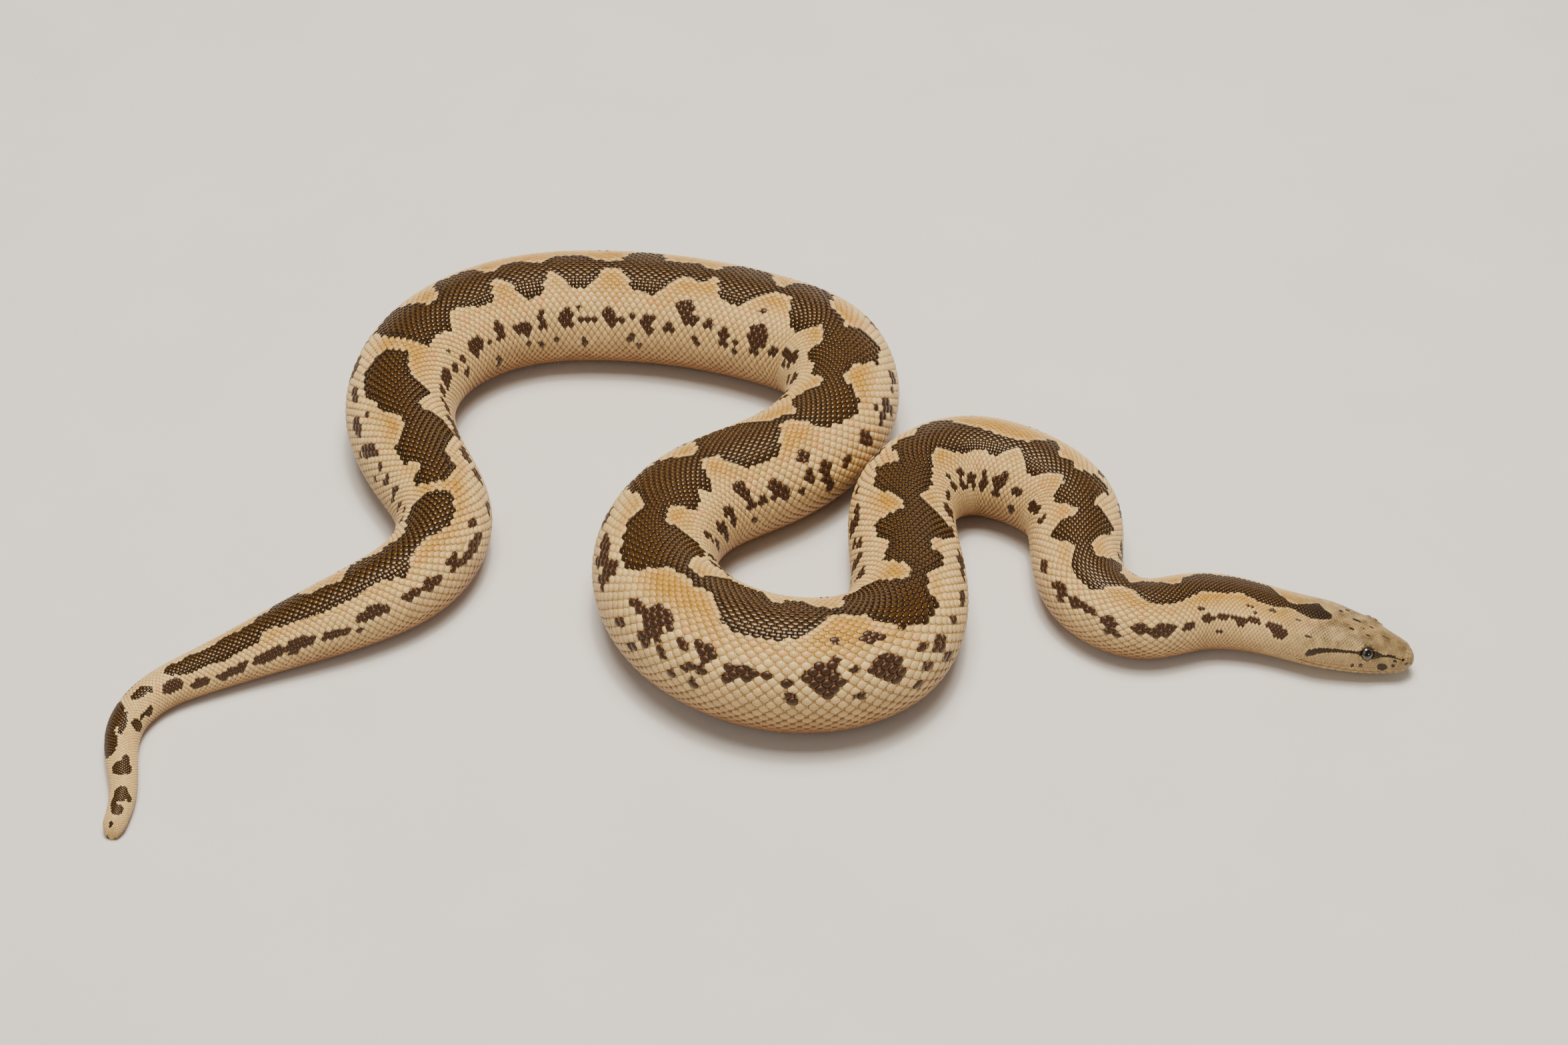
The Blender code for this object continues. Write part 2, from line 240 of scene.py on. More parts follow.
# The markings. Each edge of the dark band is a run of (place, degrees it reaches from the crown
# to that side); below zero it falls short of the crown, and at -60 there is no band.
marks = {
    "bandLeft": [
        (38.5, 2), (39, 10), (40.5, 20), (42, 12), (44.5, 18), (47, 11), (50, 10), (52, 22),
        (53.5, 20), (55, 14), (58, 18), (60, 29), (61.5, 30), (63, 40), (64, 52), (68.5, 52),
        (69.5, 24), (71, 12), (73, 19), (74.5, 13), (78, 10), (79.5, 26), (81, 38), (85, 38),
        (87, 27), (91, 33), (93, 25), (96, 25), (98, 32), (101, 40), (104, 40), (107, 29),
        (108.5, 20), (109.2, -60), (110.6, -60), (111, 8), (112.5, 29), (114.5, 30),
        (116.5, 16), (118.5, 15), (120, 30), (125, 29), (126.5, 20), (128, 8), (131, 4),
        (132.5, 9), (134, 22), (137, 26), (139, 33), (142, 38), (145, 38), (147, 30),
        (149.5, 24), (150.8, 12), (151.2, -60), (153.8, -60), (154.2, 22), (156, 42),
        (157, 50), (163, 48), (164.3, 24), (165.5, 5), (168.5, 4), (170, 24), (172, 38),
        (177, 32), (179, 26), (180.3, 10), (182.5, 7), (184, 16), (187, 17), (190, 12),
        (192.5, 4), (194, 16), (200, 20), (203, 11), (206, 6), (209.5, 7), (211, 22),
        (212.5, 38), (218, 36), (219.6, 14), (223, 16), (227, 18), (229, 10), (231, 11),
        (232.6, 30), (235, 40), (241, 36), (243, 20), (244.4, 9), (246.4, 10), (248, 32),
        (251, 44), (254.6, 38), (256, 20), (257.5, 11), (262, 11), (263.4, 5), (264.5, 26),
        (268, 42), (272, 40), (273.6, 22), (275.5, 11), (279.5, 5), (280.6, 18), (282.5, 33),
        (285, 38), (289, 34), (292.5, 26), (294.5, 9), (296, -1), (299, -1), (301, 12),
        (303, 28), (306, 32), (311, 31), (313.5, 18), (315, 5), (318.5, 0), (319.8, 8),
        (320.6, 31), (323, 33), (325.5, 24), (327.5, 34), (330.5, 37), (332.5, 27),
        (334, 11), (339.5, 12), (341.5, 27), (344, 41), (348, 50), (351, 43), (353.5, 24),
        (355.5, 16), (360, 14), (362, 30), (365, 40), (372, 41), (375.5, 37), (377.5, 22),
        (380, 20), (382, 31), (385, 31), (388, 21), (390.5, 18), (392, 13), (395, 16),
        (396.5, 32), (399, 38), (409, 38), (410.3, 28), (411.3, 6), (413, -3), (415.5, -3),
        (417, 9), (418.2, 28), (421.5, 26), (424.5, 19), (427, 32), (431.5, 38), (432.8, 20),
        (434, 0), (436.5, 3), (439, 15), (441, 32), (446.5, 37), (447.6, 14), (449, 11),
        (451.2, 33), (453.8, 37), (455.3, 21), (457.5, 38), (461, 37), (463.5, 17),
        (466.5, 6), (470, 0), (473, -3), (477.5, 2), (479.3, 14), (481, 31), (482.2, 29),
        (484, 12), (485.3, 8), (487, 15), (489.2, 9), (490.3, 28), (492, 50), (494, 42),
        (495.5, 21), (497.6, 20), (499.3, 38), (501.5, 49), (503.5, 45), (505.5, 30),
        (507.2, 15), (508.6, 11), (512, 10), (513.4, 30), (515.5, 50), (517.5, 36),
        (519.5, 22), (521.5, 19), (523, 11), (525.5, 24), (528.5, 27), (530.5, 21),
        (532.4, 11), (534, 12), (536, 26), (539, 38), (543, 35), (547, 40), (551.3, 38),
        (552.6, 22), (554.6, 12), (556.2, 5), (557.6, 6), (560, 15), (561.5, 22), (563, 11),
        (564.8, 4), (565.4, -60),
    ],
    "bandRight": [
        (38.5, 4), (39.5, 18), (42, 33), (45, 34), (50, 38), (57, 35), (59.5, 18), (62, 19),
        (65, 26), (73, 28), (79, 25), (84, 23), (87.5, 32), (89.5, 29), (91.5, 12), (96, 9),
        (98.5, 16), (101, 23), (104, 24), (106.5, 17), (108.5, 14), (109.2, -60),
        (110.6, -60), (111.2, 10), (113.5, 21), (115, 27), (118.5, 20), (121, 26),
        (123, 40), (125.5, 52), (128, 48), (130.5, 38), (132.3, 24), (134.5, 18),
        (136.2, 30), (138, 38), (140.5, 33), (143, 20), (146, 12), (149, 11), (150.6, 10),
        (151, -60), (153.8, -60), (154.2, 26), (158, 26), (161, 29), (162.7, 38),
        (164, 29), (166.5, 19), (170.5, 20), (173, 28), (178.8, 29), (180, 10), (182, 4),
        (183.6, 10), (185.5, 26), (188, 37), (191, 36), (192.5, 22), (194, 7), (196, 16),
        (198.5, 28), (202.8, 30), (204.5, 18), (206.5, 6), (210, 5), (211.5, 14),
        (213.3, 31), (219, 33), (221, 25), (223.3, 11), (225.3, 7), (227.5, 13),
        (229.6, 10), (231.5, 1), (232.8, 12), (234, 27), (239, 30), (241, 20), (243.5, 9),
        (246, 2), (249.4, 3), (251, 20), (253, 35), (257, 37), (259.6, 27), (261.2, 12),
        (264, 15), (266.6, 20), (268.3, 37), (272, 37), (274, 30), (279, 30), (280.8, 13),
        (283.5, 12), (286, 22), (290.6, 27), (292.6, 14), (294, 4), (296.5, 11),
        (300, 14), (303, 26), (306, 40), (310, 48), (315, 42), (316.8, 14), (319, 10),
        (320.8, 22), (322.5, 42), (326, 52), (330, 50), (332.3, 24), (334.6, 12),
        (336.3, 14), (338.5, 25), (343, 29), (346.5, 35), (349.6, 34), (352, 18),
        (354, 2), (357, -4), (359.5, -5), (361.6, -2), (365.6, -6), (368, 4), (371.5, 19),
        (375, 23), (381.5, 22), (386.5, 15), (388.6, 8), (390.6, -6), (393.5, -4),
        (397.6, 2), (399.6, 14), (402, 28), (405.5, 39), (409.6, 39), (411.3, 23),
        (415, 19), (417.6, 31), (421, 35), (422.4, 22), (424.6, 22), (427, 40), (430, 58),
        (433.5, 45), (436.3, 24), (438.3, 18), (441, 27), (443.3, 33), (449.6, 27),
        (452.6, 18), (455.3, 11), (458, 22), (461, 29), (469.6, 27), (472.6, 32),
        (474.3, 21), (477, 11), (479, 19), (481.6, 36), (484, 36), (487, 20), (489.5, 9),
        (491.4, 12), (493.4, 28), (496.3, 33), (497.8, 16), (499.3, 3), (500.6, 3),
        (501.8, 22), (503.5, 39), (505.3, 38), (507, 22), (509, 11), (511, 22), (514, 30),
        (518, 29), (520, 11), (522, 1), (524.3, 1), (526, 12), (528.3, 22), (531.5, 24),
        (535, 18), (538, 10), (542.6, 12), (546.5, 5), (550, 12), (553.6, 11), (556.3, 4),
        (558.3, 8), (561, 12), (563.3, 7), (565, 1), (565.4, -60),
    ],
    # Separate dark spots: place, angle, half length, half the angle it spans.
    "tailSpots": [
        (1.4, 2, 0.5, 12), (4.4, -8, 1.2, 30), (8.0, -4, 1.7, 33), (7.5, -46, 0.8, 14),
        (6.2, 20, 1.6, 14), (14.0, -4, 1.6, 40), (15.6, -22, 1.5, 14), (20.5, 42, 2.8, 36),
        (26.0, 45, 3.4, 46), (24.5, -6, 2.6, 12), (32.4, -2, 1.8, 16), (34.2, -16, 0.8, 14),
        (33.0, 60, 2.0, 18), (37.0, 66, 1.5, 12), (43.0, 64, 3.2, 12),
    ],
    "rightSpots": [
        (25.5, -58, 1.5, 24), (28.6, -58, 1.4, 8), (30.8, -65, 1.3, 13), (38.8, -45, 2.4, 19),
        (44.6, -68, 2.0, 13), (51.0, -70, 3.0, 10), (49.6, -76, 1.0, 8), (53.6, -62, 1.4, 6),
        (58.4, -65, 3.0, 12), (60.3, -57, 1.3, 7), (65.0, -62, 3.6, 9), (63.6, -72, 1.1, 5),
        (71.8, -66, 2.0, 7), (74.2, -68, 1.0, 6), (80.0, -58, 3.3, 9), (77.2, -75, 1.0, 4),
        (88.0, -58, 2.0, 6), (91.5, -58, 1.8, 7), (96.4, -52, 1.2, 6), (96.8, -62, 1.3, 6),
        (101.0, -66, 3.2, 8), (104.2, -50, 1.1, 6), (109.4, -72, 1.2, 8), (114.6, -58, 1.6, 8),
        (142.6, -56, 2.0, 5), (149.5, -57, 2.5, 8), (146.5, -63, 1.5, 5), (155.0, -63, 1.7, 5),
        (157.6, -46, 0.8, 3), (160.2, -63, 1.0, 5), (159.6, -81, 1.3, 6), (167.4, -62, 2.7, 9),
        (166.4, -72, 1.3, 5), (172.6, -65, 0.9, 3), (177.0, -59, 1.6, 10), (176.0, -68, 1.2, 4),
        (174.6, -96, 1.0, 8), (184.5, -65, 2.8, 7), (185.6, -72, 1.0, 4), (185.6, -85, 0.9, 4),
        (189.2, -87, 0.8, 4), (190.4, -58, 1.0, 7), (190.7, -67, 1.0, 4), (194.1, -83, 0.8, 4),
        (197.0, -61, 2.0, 10), (201.8, -88, 0.9, 8), (202.6, -62, 2.2, 4), (200.4, -50, 0.8, 3),
        (207.8, -55, 1.7, 6), (208.6, -64, 1.6, 6), (211.0, -62, 1.0, 5), (213.5, -58, 0.9, 3),
        (213.6, -82, 0.9, 5), (215.4, -92, 0.7, 4), (217.6, -57, 1.9, 4), (217.2, -65, 1.3, 6),
        (218.3, -72, 1.0, 5), (222.7, -65, 1.3, 6), (226.4, -43, 2.4, 7), (227.8, -54, 2.0, 7),
        (230.1, -75, 0.9, 5), (232.6, -55, 1.1, 6), (236.8, -62, 1.6, 6), (237.0, -70, 1.0, 5),
        (240.0, -67, 0.9, 4), (240.1, -76, 0.8, 4), (244.6, -29, 0.9, 3), (245.5, -55, 2.6, 13),
        (245.3, -69, 1.3, 7), (251.2, -66, 1.5, 6), (259.6, -60, 4.2, 6), (260.2, -72, 2.4, 5),
        (276.5, -57, 3.0, 6), (342.4, -53, 2.8, 8), (347.0, -50, 1.6, 9), (343.4, -63, 1.2, 6),
        (347.0, -63, 1.4, 7), (355.0, -71, 1.1, 5), (358.5, -80, 0.9, 4), (357.0, -46, 2.8, 5),
        (361.5, -38, 2.6, 8), (361.0, -52, 2.2, 8), (360.2, -63, 1.5, 6), (367.0, -48, 1.2, 4),
        (370.6, -44, 2.2, 6), (371.0, -54, 0.9, 4), (368.6, -64, 1.0, 4), (370.5, -62, 1.0, 5),
        (364.2, -64, 0.9, 4), (366.4, -76, 0.9, 4), (370.0, -75, 0.8, 5), (377.0, -53, 2.6, 6),
        (375.0, -61, 1.2, 6), (380.8, -51, 0.9, 4), (383.8, -56, 1.0, 4), (384.3, -69, 0.9, 6),
        (388.2, -49, 2.7, 8), (388.6, -60, 1.6, 7), (389.1, -67, 0.9, 4), (390.2, -39, 1.0, 4),
        (391.5, -57, 0.9, 4), (393.3, -49, 0.8, 3), (391.0, -22, 0.9, 4), (393.0, -72, 0.9, 4),
        (396.0, -22, 0.9, 4), (397.5, -27, 1.5, 4), (397.5, -52, 2.2, 10), (398.6, -64, 1.3, 6),
        (401.2, -84, 0.6, 5), (403.4, -53, 1.0, 4), (405.6, -62, 1.1, 8), (406.2, -82, 0.7, 6),
        (402.6, -71, 0.7, 5), (410.0, -60, 0.7, 6), (415.4, -66, 2.0, 6), (421.0, -64, 1.4, 6),
        (444.6, -57, 2.8, 5), (452.4, -46, 1.1, 5), (452.0, -58, 1.8, 6), (458.2, -50, 1.4, 5),
        (457.2, -62, 1.8, 6), (463.6, -59, 3.1, 7), (459.5, -68, 1.6, 4), (465.4, -68, 1.5, 5),
        (470.3, -53, 1.1, 6), (470.2, -66, 1.7, 7), (476.6, -48, 1.2, 6), (475.6, -58, 2.0, 7),
        (475.2, -70, 1.2, 7), (481.6, -60, 1.9, 6), (481.4, -85, 1.1, 7), (491.6, -62, 3.4, 7),
        (494.8, -57, 1.3, 7), (499.4, -52, 1.0, 8), (508.6, -62, 1.2, 6), (513.6, -58, 1.6, 8),
        (514.2, -68, 0.9, 5), (518.0, -55, 2.1, 5), (516.4, -60, 1.0, 5), (522.0, -59, 1.3, 8),
        (522.8, -70, 0.9, 6), (525.8, -56, 1.1, 7), (528.8, -60, 2.0, 9), (533.3, -60, 1.3, 7),
        (536.8, -38, 0.8, 3), (538.4, -52, 1.8, 6), (542.4, -48, 1.6, 5), (546.8, -48, 2.1, 5),
        (546.9, -56, 0.8, 4), (549.9, -45, 1.3, 6), (549.8, -32, 0.6, 3), (554.4, -46, 2.0, 7),
        (555.6, -52, 1.6, 8), (555.6, -62, 0.9, 5), (541.8, -73, 0.9, 4), (553.2, -19, 0.9, 3),
        (548.6, -23, 0.7, 2), (558.5, -21, 0.6, 2), (561.2, -45, 0.7, 3),
    ],
    "leftSpots": [
        (111.0, 63, 0.9, 8), (117.0, 60, 1.2, 7), (116.4, 70, 0.8, 5), (121.0, 62, 1.0, 8),
        (124.6, 57, 0.9, 5), (125.0, 78, 0.6, 4), (129.0, 54, 2.0, 6), (130.2, 65, 1.6, 6),
        (134.3, 60, 0.9, 5), (136.4, 60, 1.5, 8), (136.0, 41, 0.6, 2), (132.0, 76, 0.6, 4),
        (261.6, 53, 1.5, 5), (272.4, 62, 1.0, 8), (274.6, 66, 0.7, 4), (278.6, 62, 1.4, 9),
        (277.8, 74, 0.8, 6), (281.0, 66, 1.0, 5), (280.9, 51, 0.8, 4), (286.1, 66, 1.2, 10),
        (291.4, 69, 1.2, 6), (295.6, 62, 1.5, 6), (296.4, 73, 1.2, 6), (295.8, 84, 0.8, 7),
        (299.2, 61, 0.9, 7), (298.8, 41, 1.3, 6), (301.4, 76, 0.7, 4), (305.6, 64, 1.9, 8),
        (306.8, 56, 1.3, 6), (304.6, 73, 0.9, 5), (309.6, 67, 0.9, 5), (312.8, 66, 1.3, 6),
        (313.2, 56, 1.1, 6), (314.4, 45, 1.7, 8), (312.2, 84, 0.7, 4), (320.0, 68, 1.3, 11),
        (321.8, 60, 1.4, 5), (325.6, 78, 1.3, 12), (327.4, 68, 1.4, 8), (333.0, 78, 1.7, 10),
        (336.6, 57, 1.8, 5), (335.0, 66, 1.1, 6), (416.4, 55, 1.5, 8), (418.6, 54, 0.9, 6),
        (419.6, 77, 0.8, 5), (424.4, 72, 1.8, 10), (425.6, 62, 1.5, 6), (429.4, 60, 1.3, 7),
        (431.0, 68, 0.9, 5), (436.0, 68, 1.8, 12), (438.4, 58, 1.5, 6), (495.0, 72, 1.4, 7),
        (504.6, 73, 2.4, 7),
    ],
    "headSpots": [
        (569.7, 10, 0.9, 3), (569.0, -7, 0.6, 2.4), (572.8, 8, 0.5, 2), (572.4, -9, 0.5, 2.4),
        (571.2, 0, 0.4, 1.4), (575.9, 1, 0.9, 1.6), (566.2, 19, 0.5, 3.4), (567.4, 30, 0.5, 4),
        (576.4, -88, 0.98, 9), (572.2, -88, 0.4, 4), (570.6, -90, 0.35, 4), (578.4, -80, 0.4, 6),
        (577.7, -46, 0.9, 4), (578.6, -62, 0.4, 5), (580.2, -54, 0.34, 5),
        (580.9, -72, 0.4, 7),
    ],
    # The stripe through the right eye: place, angle, half the angle it spans.
    "stripe": [
        (561.3, 82, 2), (561.8, 78.5, 8), (562.6, 74.5, 8.5), (563.6, 68.5, 7), (565.0, 64.5, 5.5),
        (566.6, 61.5, 4.6), (568.6, 59, 4), (571.0, 56, 3.8), (572.2, 55, 10), (573.4, 55, 13),
        (575.0, 54, 11), (575.8, 53, 6), (576.6, 51, 4), (577.8, 50, 3.2), (579.0, 51, 2.6),
        (580.0, 53, 2.6), (580.4, 54, 1),
    ],
    "drawnFor": 582.2,  # the length of body on which the marks above are placed
    "missing": -60, "spotFull": 1.12, "tailEnd": 36, "farSide": -40,
    # The edge is looked for a little less than a scale away, on this many sides.
    "pace": 0.9, "headPace": 0.8, "looks": 8,
    "crossing": 24, "partly": 0.25,
    "unseenLeft": [(48, 108), (140, 258), (341, 412), (442, 490), (508, 556)],
    "unseenRight": [(118, 140), (263, 274), (280, 340), (424, 442)],
    # Spots on those stretches come in clusters of one to three; each range is from and to.
    "cluster": {
        "seed": 11, "first": (1, 3), "angle": (55, 68), "count": (1, 4), "next": (4.2, 7.2),
        "strayPlace": (-1.4, 1.4), "strayAngle": (-9, 9), "length": (0.9, 2.1),
        "span": (4, 8.5),
    },
}


def unseenSpots():  # more spots of the same kind along the stretches that turn away
    cluster = marks["cluster"]
    chance = np.random.default_rng(cluster["seed"])
    made = []
    for side, spans in ((1, marks["unseenLeft"]), (-1, marks["unseenRight"])):
        for start, end in spans:
            place = start + chance.uniform(*cluster["first"])
            while place < end - 1:
                angle = chance.uniform(*cluster["angle"])
                for _ in range(chance.integers(*cluster["count"])):
                    made.append((
                        place + chance.uniform(*cluster["strayPlace"]),
                        side * (angle + chance.uniform(*cluster["strayAngle"])),
                        chance.uniform(*cluster["length"]), chance.uniform(*cluster["span"]),
                    ))
                place += chance.uniform(*cluster["next"])
    return made


def drawnAt(place):  # the marks stretch with the body
    return place * marks["drawnFor"] / snoutAt


def insideSpots(spots, place, angle):
    found = np.zeros(len(place), bool)
    place = drawnAt(place)
    for middle, turn, length, span in spots:
        away = ((place - middle) / length) ** 2 + ((angle - turn) / span) ** 2
        found |= away < marks["spotFull"]
    return found


farSide = [(place, 2 * headParts["roll"] - angle, *size)
           for place, angle, *size in marks["headSpots"] if angle < marks["farSide"]]
allSpots = unseenSpots() + farSide
for name in ("tailSpots", "rightSpots", "leftSpots", "headSpots"):
    allSpots += marks[name]


def inBand(place, angle):
    place, missing = drawnAt(place), marks["missing"]
    left = ruled(marks["bandLeft"], place, left=missing, right=missing)
    right = ruled(marks["bandRight"], place, left=missing, right=missing)
    return (angle < left) & (angle > -right)


def bandTone(place, angle):  # the marks near the tip of the tail share the band's colour
    return inBand(place, angle) | (place < marks["tailEnd"])


def isDark(place, angle):
    at, turn, span = np.array(marks["stripe"], float).T
    middle = np.interp(drawnAt(place), at, turn)
    span = np.interp(drawnAt(place), at, span, left=0, right=0)
    roll = headParts["roll"]
    eyed = np.abs(np.abs(angle - roll) - middle - roll) < span
    return inBand(place, angle) | eyed | insideSpots(allSpots, place, angle)


def markingsAt(place, angle, pace):  # dark or not, and how near the marking's edge
    dark = isDark(place, angle)
    width = np.degrees(pace / halfWidth(place))
    around = np.zeros(len(place))
    for turn in np.arange(marks["looks"]) * (2 * math.pi / marks["looks"]):
        around += isDark(place + pace * math.cos(turn), angle + width * math.sin(turn))
    around /= marks["looks"]
    return dark, np.where(dark, 1 - around, around)


# One scale, modelled at unit size with the tail end at -X, then laid over the skin in arrays.
scale = {
    "sides": 12, "shoulder": 0.66, "shoulderHigh": 0.66, "rootLow": -0.40, "corner": 0.06,
    "keelSink": 0.22, "keelLift": 0.08, "shoulderRise": 0.62,
}
coat = {
    "pitch": [(0, 0.42), (20, 0.66), (45, 0.98), (72, 1.36), (100, 1.58), (215, 1.66),
              (310, 1.62), (380, 1.88), (435, 1.60), (480, 1.46), (510, 1.38), (530, 1.16),
              (545, 0.86), (558, 0.66), (578, 0.48)],
    "rowsEachSide": 31, "lastRow": 150, "leastRow": 0.36,
    # How wide each row is, from the crown down, and how much of that shows at each place.
    "rowWide": [(0, 0.63), (6, 0.65), (11, 0.98), (31, 1.03)],
    "rowWideShows": [(90, 0.15), (160, 1)],
    # Pairs of rows end on the way to the tail, at these places.
    "rowEnds": {4: 116, 28: 108, 12: 100, 20: 88, 8: 72, 24: 58, 16: 44}, "rowFade": 7,
    "long": 0.515, "wide": 0.80, "high": 0.19, "highForRow": 1.5, "tilt": 0.20,
    "crownHigh": [(8, 0.5), (42, 1)], "headHigh": 0.4,  # lower on the crown and on the head
    "keel": [(0, 0.95), (140, 0.8), (260, 0.45), (582, 0.3)], "keelSpan": 70,
    "stretch": 0.8, "stretchLimits": (0.5, 1.6), "leastHalf": 0.8, "low": 0.02,
    "jitter": 0.035, "seed": 5, "patch": 0.0015, "bakeGirth": 0.99,
    # Where the head's colours fade in, and how far round the side the tail's colours start.
    "headFrom": 34, "headFade": 20, "tailSide": [(44, 0.25), (62, 0)],
    # What the plates of the face are given room for: the eye, the nostril, the lips, the tip.
    "clear": {"eye": 1.98, "nostril": 0.86}, "clearLips": (-1.25, 1.15), "clearTip": 1.75,
    "clearMouth": 0.2, "clearFace": 24,
    "names": ["scales_tail", "scales_hind", "scales_middle", "scales_loop", "scales_neck",
              "scales_head"],
}


def clearSelection():
    if bpy.context.mode != "OBJECT":
        bpy.ops.object.mode_set(mode="OBJECT")
    bpy.ops.object.select_all(action="DESELECT")


def editAll():
    bpy.ops.object.mode_set(mode="EDIT")
    bpy.ops.mesh.select_all(action="SELECT")


def faceOutward():
    editAll()
    bpy.ops.mesh.normals_make_consistent(inside=False)
    bpy.ops.object.mode_set(mode="OBJECT")


def modelScale():
    clearSelection()
    bpy.ops.mesh.primitive_circle_add(vertices=scale["sides"], radius=1, fill_type="NGON")
    made = bpy.context.object
    editAll()
    bpy.ops.mesh.extrude_region_move(
        TRANSFORM_OT_translate={"value": (0, 0, scale["shoulderHigh"])}
    )
    size = scale["shoulder"]
    bpy.ops.transform.resize(value=(size, size, 1))
    bpy.ops.mesh.poke(offset=1 - scale["shoulderHigh"])
    faceOutward()
    points = np.array([list(v.co) for v in made.data.vertices])
    faces = [list(face.vertices) for face in made.data.polygons]
    bpy.data.objects.remove(made)
    turn = np.arctan2(points[:, 1], points[:, 0])
    foot, crest = points[:, 2] < 0.01, np.hypot(points[:, 0], points[:, 1]) < 0.1
    sixSided = 1 + scale["corner"] * np.cos(6 * (turn - math.pi / 6))
    points[:, :2] *= np.where(crest, 1, sixSided)[:, None]
    points[foot, 2] = scale["rootLow"]
    # How high each point counts as standing, nought at the foot and one at the crest; the finish
    # paints shade at the foot from it.
    rise = np.where(foot, 0.0, np.where(crest, 1.0, scale["shoulderRise"]))
    keeled = points.copy()
    shoulder = ~foot & ~crest
    keeled[shoulder, 2] -= scale["keelSink"] * np.abs(np.sin(turn[shoulder])) - scale["keelLift"]
    bottom = [i for i, face in enumerate(faces) if all(foot[face])]
    return points, keeled, rise, faces, bottom


scalePoints, scaleKeeled, scaleRise, scaleFaces, scaleBottom = modelScale()


def newMesh(name, points, faces, count=1, flat=()):  # the faces go over each of count pieces
    pieces = np.arange(count)[:, None]
    corners = (np.concatenate(faces)[None] + len(points) // count * pieces).ravel()
    sizes = np.tile([len(item) for item in faces], count)
    smooth = np.ones((count, len(faces)), bool)
    smooth[:, list(flat)] = False
    mesh = bpy.data.meshes.new(name)
    mesh.vertices.add(len(points))
    mesh.vertices.foreach_set("co", (points * 0.001).astype(np.float32).ravel())
    mesh.loops.add(len(corners))
    mesh.loops.foreach_set("vertex_index", corners.astype(np.int32))
    mesh.polygons.add(len(sizes))
    starts = np.concatenate([[0], np.cumsum(sizes)[:-1]]).astype(np.int32)
    mesh.polygons.foreach_set("loop_start", starts)
    mesh.polygons.foreach_set("use_smooth", smooth.ravel())
    mesh.update(calc_edges=True)
    mesh.validate()
    return mesh


def setAttribute(mesh, name, *columns):  # up to four numbers at each point; one, if left out
    rows = np.ones((len(mesh.vertices), 4), np.float32)
    for i, column in enumerate(columns):
        rows[:, i] = column
    made = mesh.attributes.new(name, "FLOAT_COLOR", "POINT")
    made.data.foreach_set("color", rows.ravel())


def bakeMap(mesh, spots):
    corners = np.zeros(len(mesh.loops), np.int32)
    mesh.loops.foreach_get("vertex_index", corners)
    layer = mesh.uv_layers.new(name="OFBake")
    layer.uv.foreach_set("vector", spots.reshape(-1, 2)[corners].astype(np.float32).ravel())


def addPiece(name, mesh, finish):
    made = bpy.data.objects.new(name, mesh)
    bpy.context.scene.collection.objects.link(made)
    mesh.materials.append(finish)
    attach(made, "root")
    return made


def pitchAt(place):
    return readTable(coat["pitch"], place)[:, 0]


def ringsTo(fine, pitch):  # how many rings there are up to each place along the body
    return np.r_[0, np.cumsum(np.diff(fine) / ((pitch[1:] + pitch[:-1]) / 2))]


finePlaces = np.linspace(0, snoutAt, 6000)
ringCount = ringsTo(finePlaces, pitchAt(finePlaces))


def rowLie(place, row):  # the angle of each scale's row there, and how many degrees it is wide
    profile = ruled(coat["rowWide"], np.arange(1, coat["rowsEachSide"] + 1))
    width = 1 + (profile - 1)[None] * ruled(coat["rowWideShows"], place)[:, None]
    for first, end in coat["rowEnds"].items():
        alive = np.clip((place - end) / coat["rowFade"] + 0.5, 0, 1)
        width[:, first - 1 : first + 1] *= smoothStep(alive)[:, None]
    crown = width[:, :1]
    reach = np.cumsum(np.concatenate([crown / 2, width], 1), 1)
    own = np.abs(row).astype(int)[:, None]
    span = np.take_along_axis(np.concatenate([crown, width], 1), own, 1)[:, 0]
    middle = np.take_along_axis(reach, own, 1)[:, 0] - span / 2
    degrees = coat["lastRow"] / reach[:, -1]
    return np.sign(row) * middle * degrees, span * degrees


def latticeRoots():
    chance = np.random.default_rng(coat["seed"])
    rings = np.arange(1, int(ringCount[-1]))
    rows = np.arange(-coat["rowsEachSide"], coat["rowsEachSide"] + 1)
    ring, row = (item.ravel() for item in np.meshgrid(rings, rows, indexing="ij"))
    step = ring + 0.5 * (row % 2) + chance.uniform(-1, 1, len(ring)) * coat["jitter"]
    place = np.interp(step, ringCount, finePlaces)
    angle, span = rowLie(place, row)
    angle += span * chance.uniform(-1, 1, len(ring)) * coat["jitter"]
    keep = span > coat["leastRow"] * coat["lastRow"] / (coat["rowsEachSide"] + 1)
    return place[keep], angle[keep], span[keep]


def headFeatureClear(place, angle):  # leaves room for the larger plates of the face
    behind = snoutAt - place
    keep = np.ones(len(place), bool)
    near = behind < coat["clearFace"]
    point, back = barePoint(place[near], angle[near]), behind[near]
    gap = point[:, 2] - lipHeight(back)
    below, above = coat["clearLips"]
    taken = (gap > below) & (gap < above) & (back < headParts["mouthEnd"] - coat["clearMouth"])
    for name, size in coat["clear"].items():
        for middle in featureSpots[name]:
            taken |= np.linalg.norm(point - middle, axis=1) < size
    keep[near] = ~(taken | (back < coat["clearTip"]))
    return keep


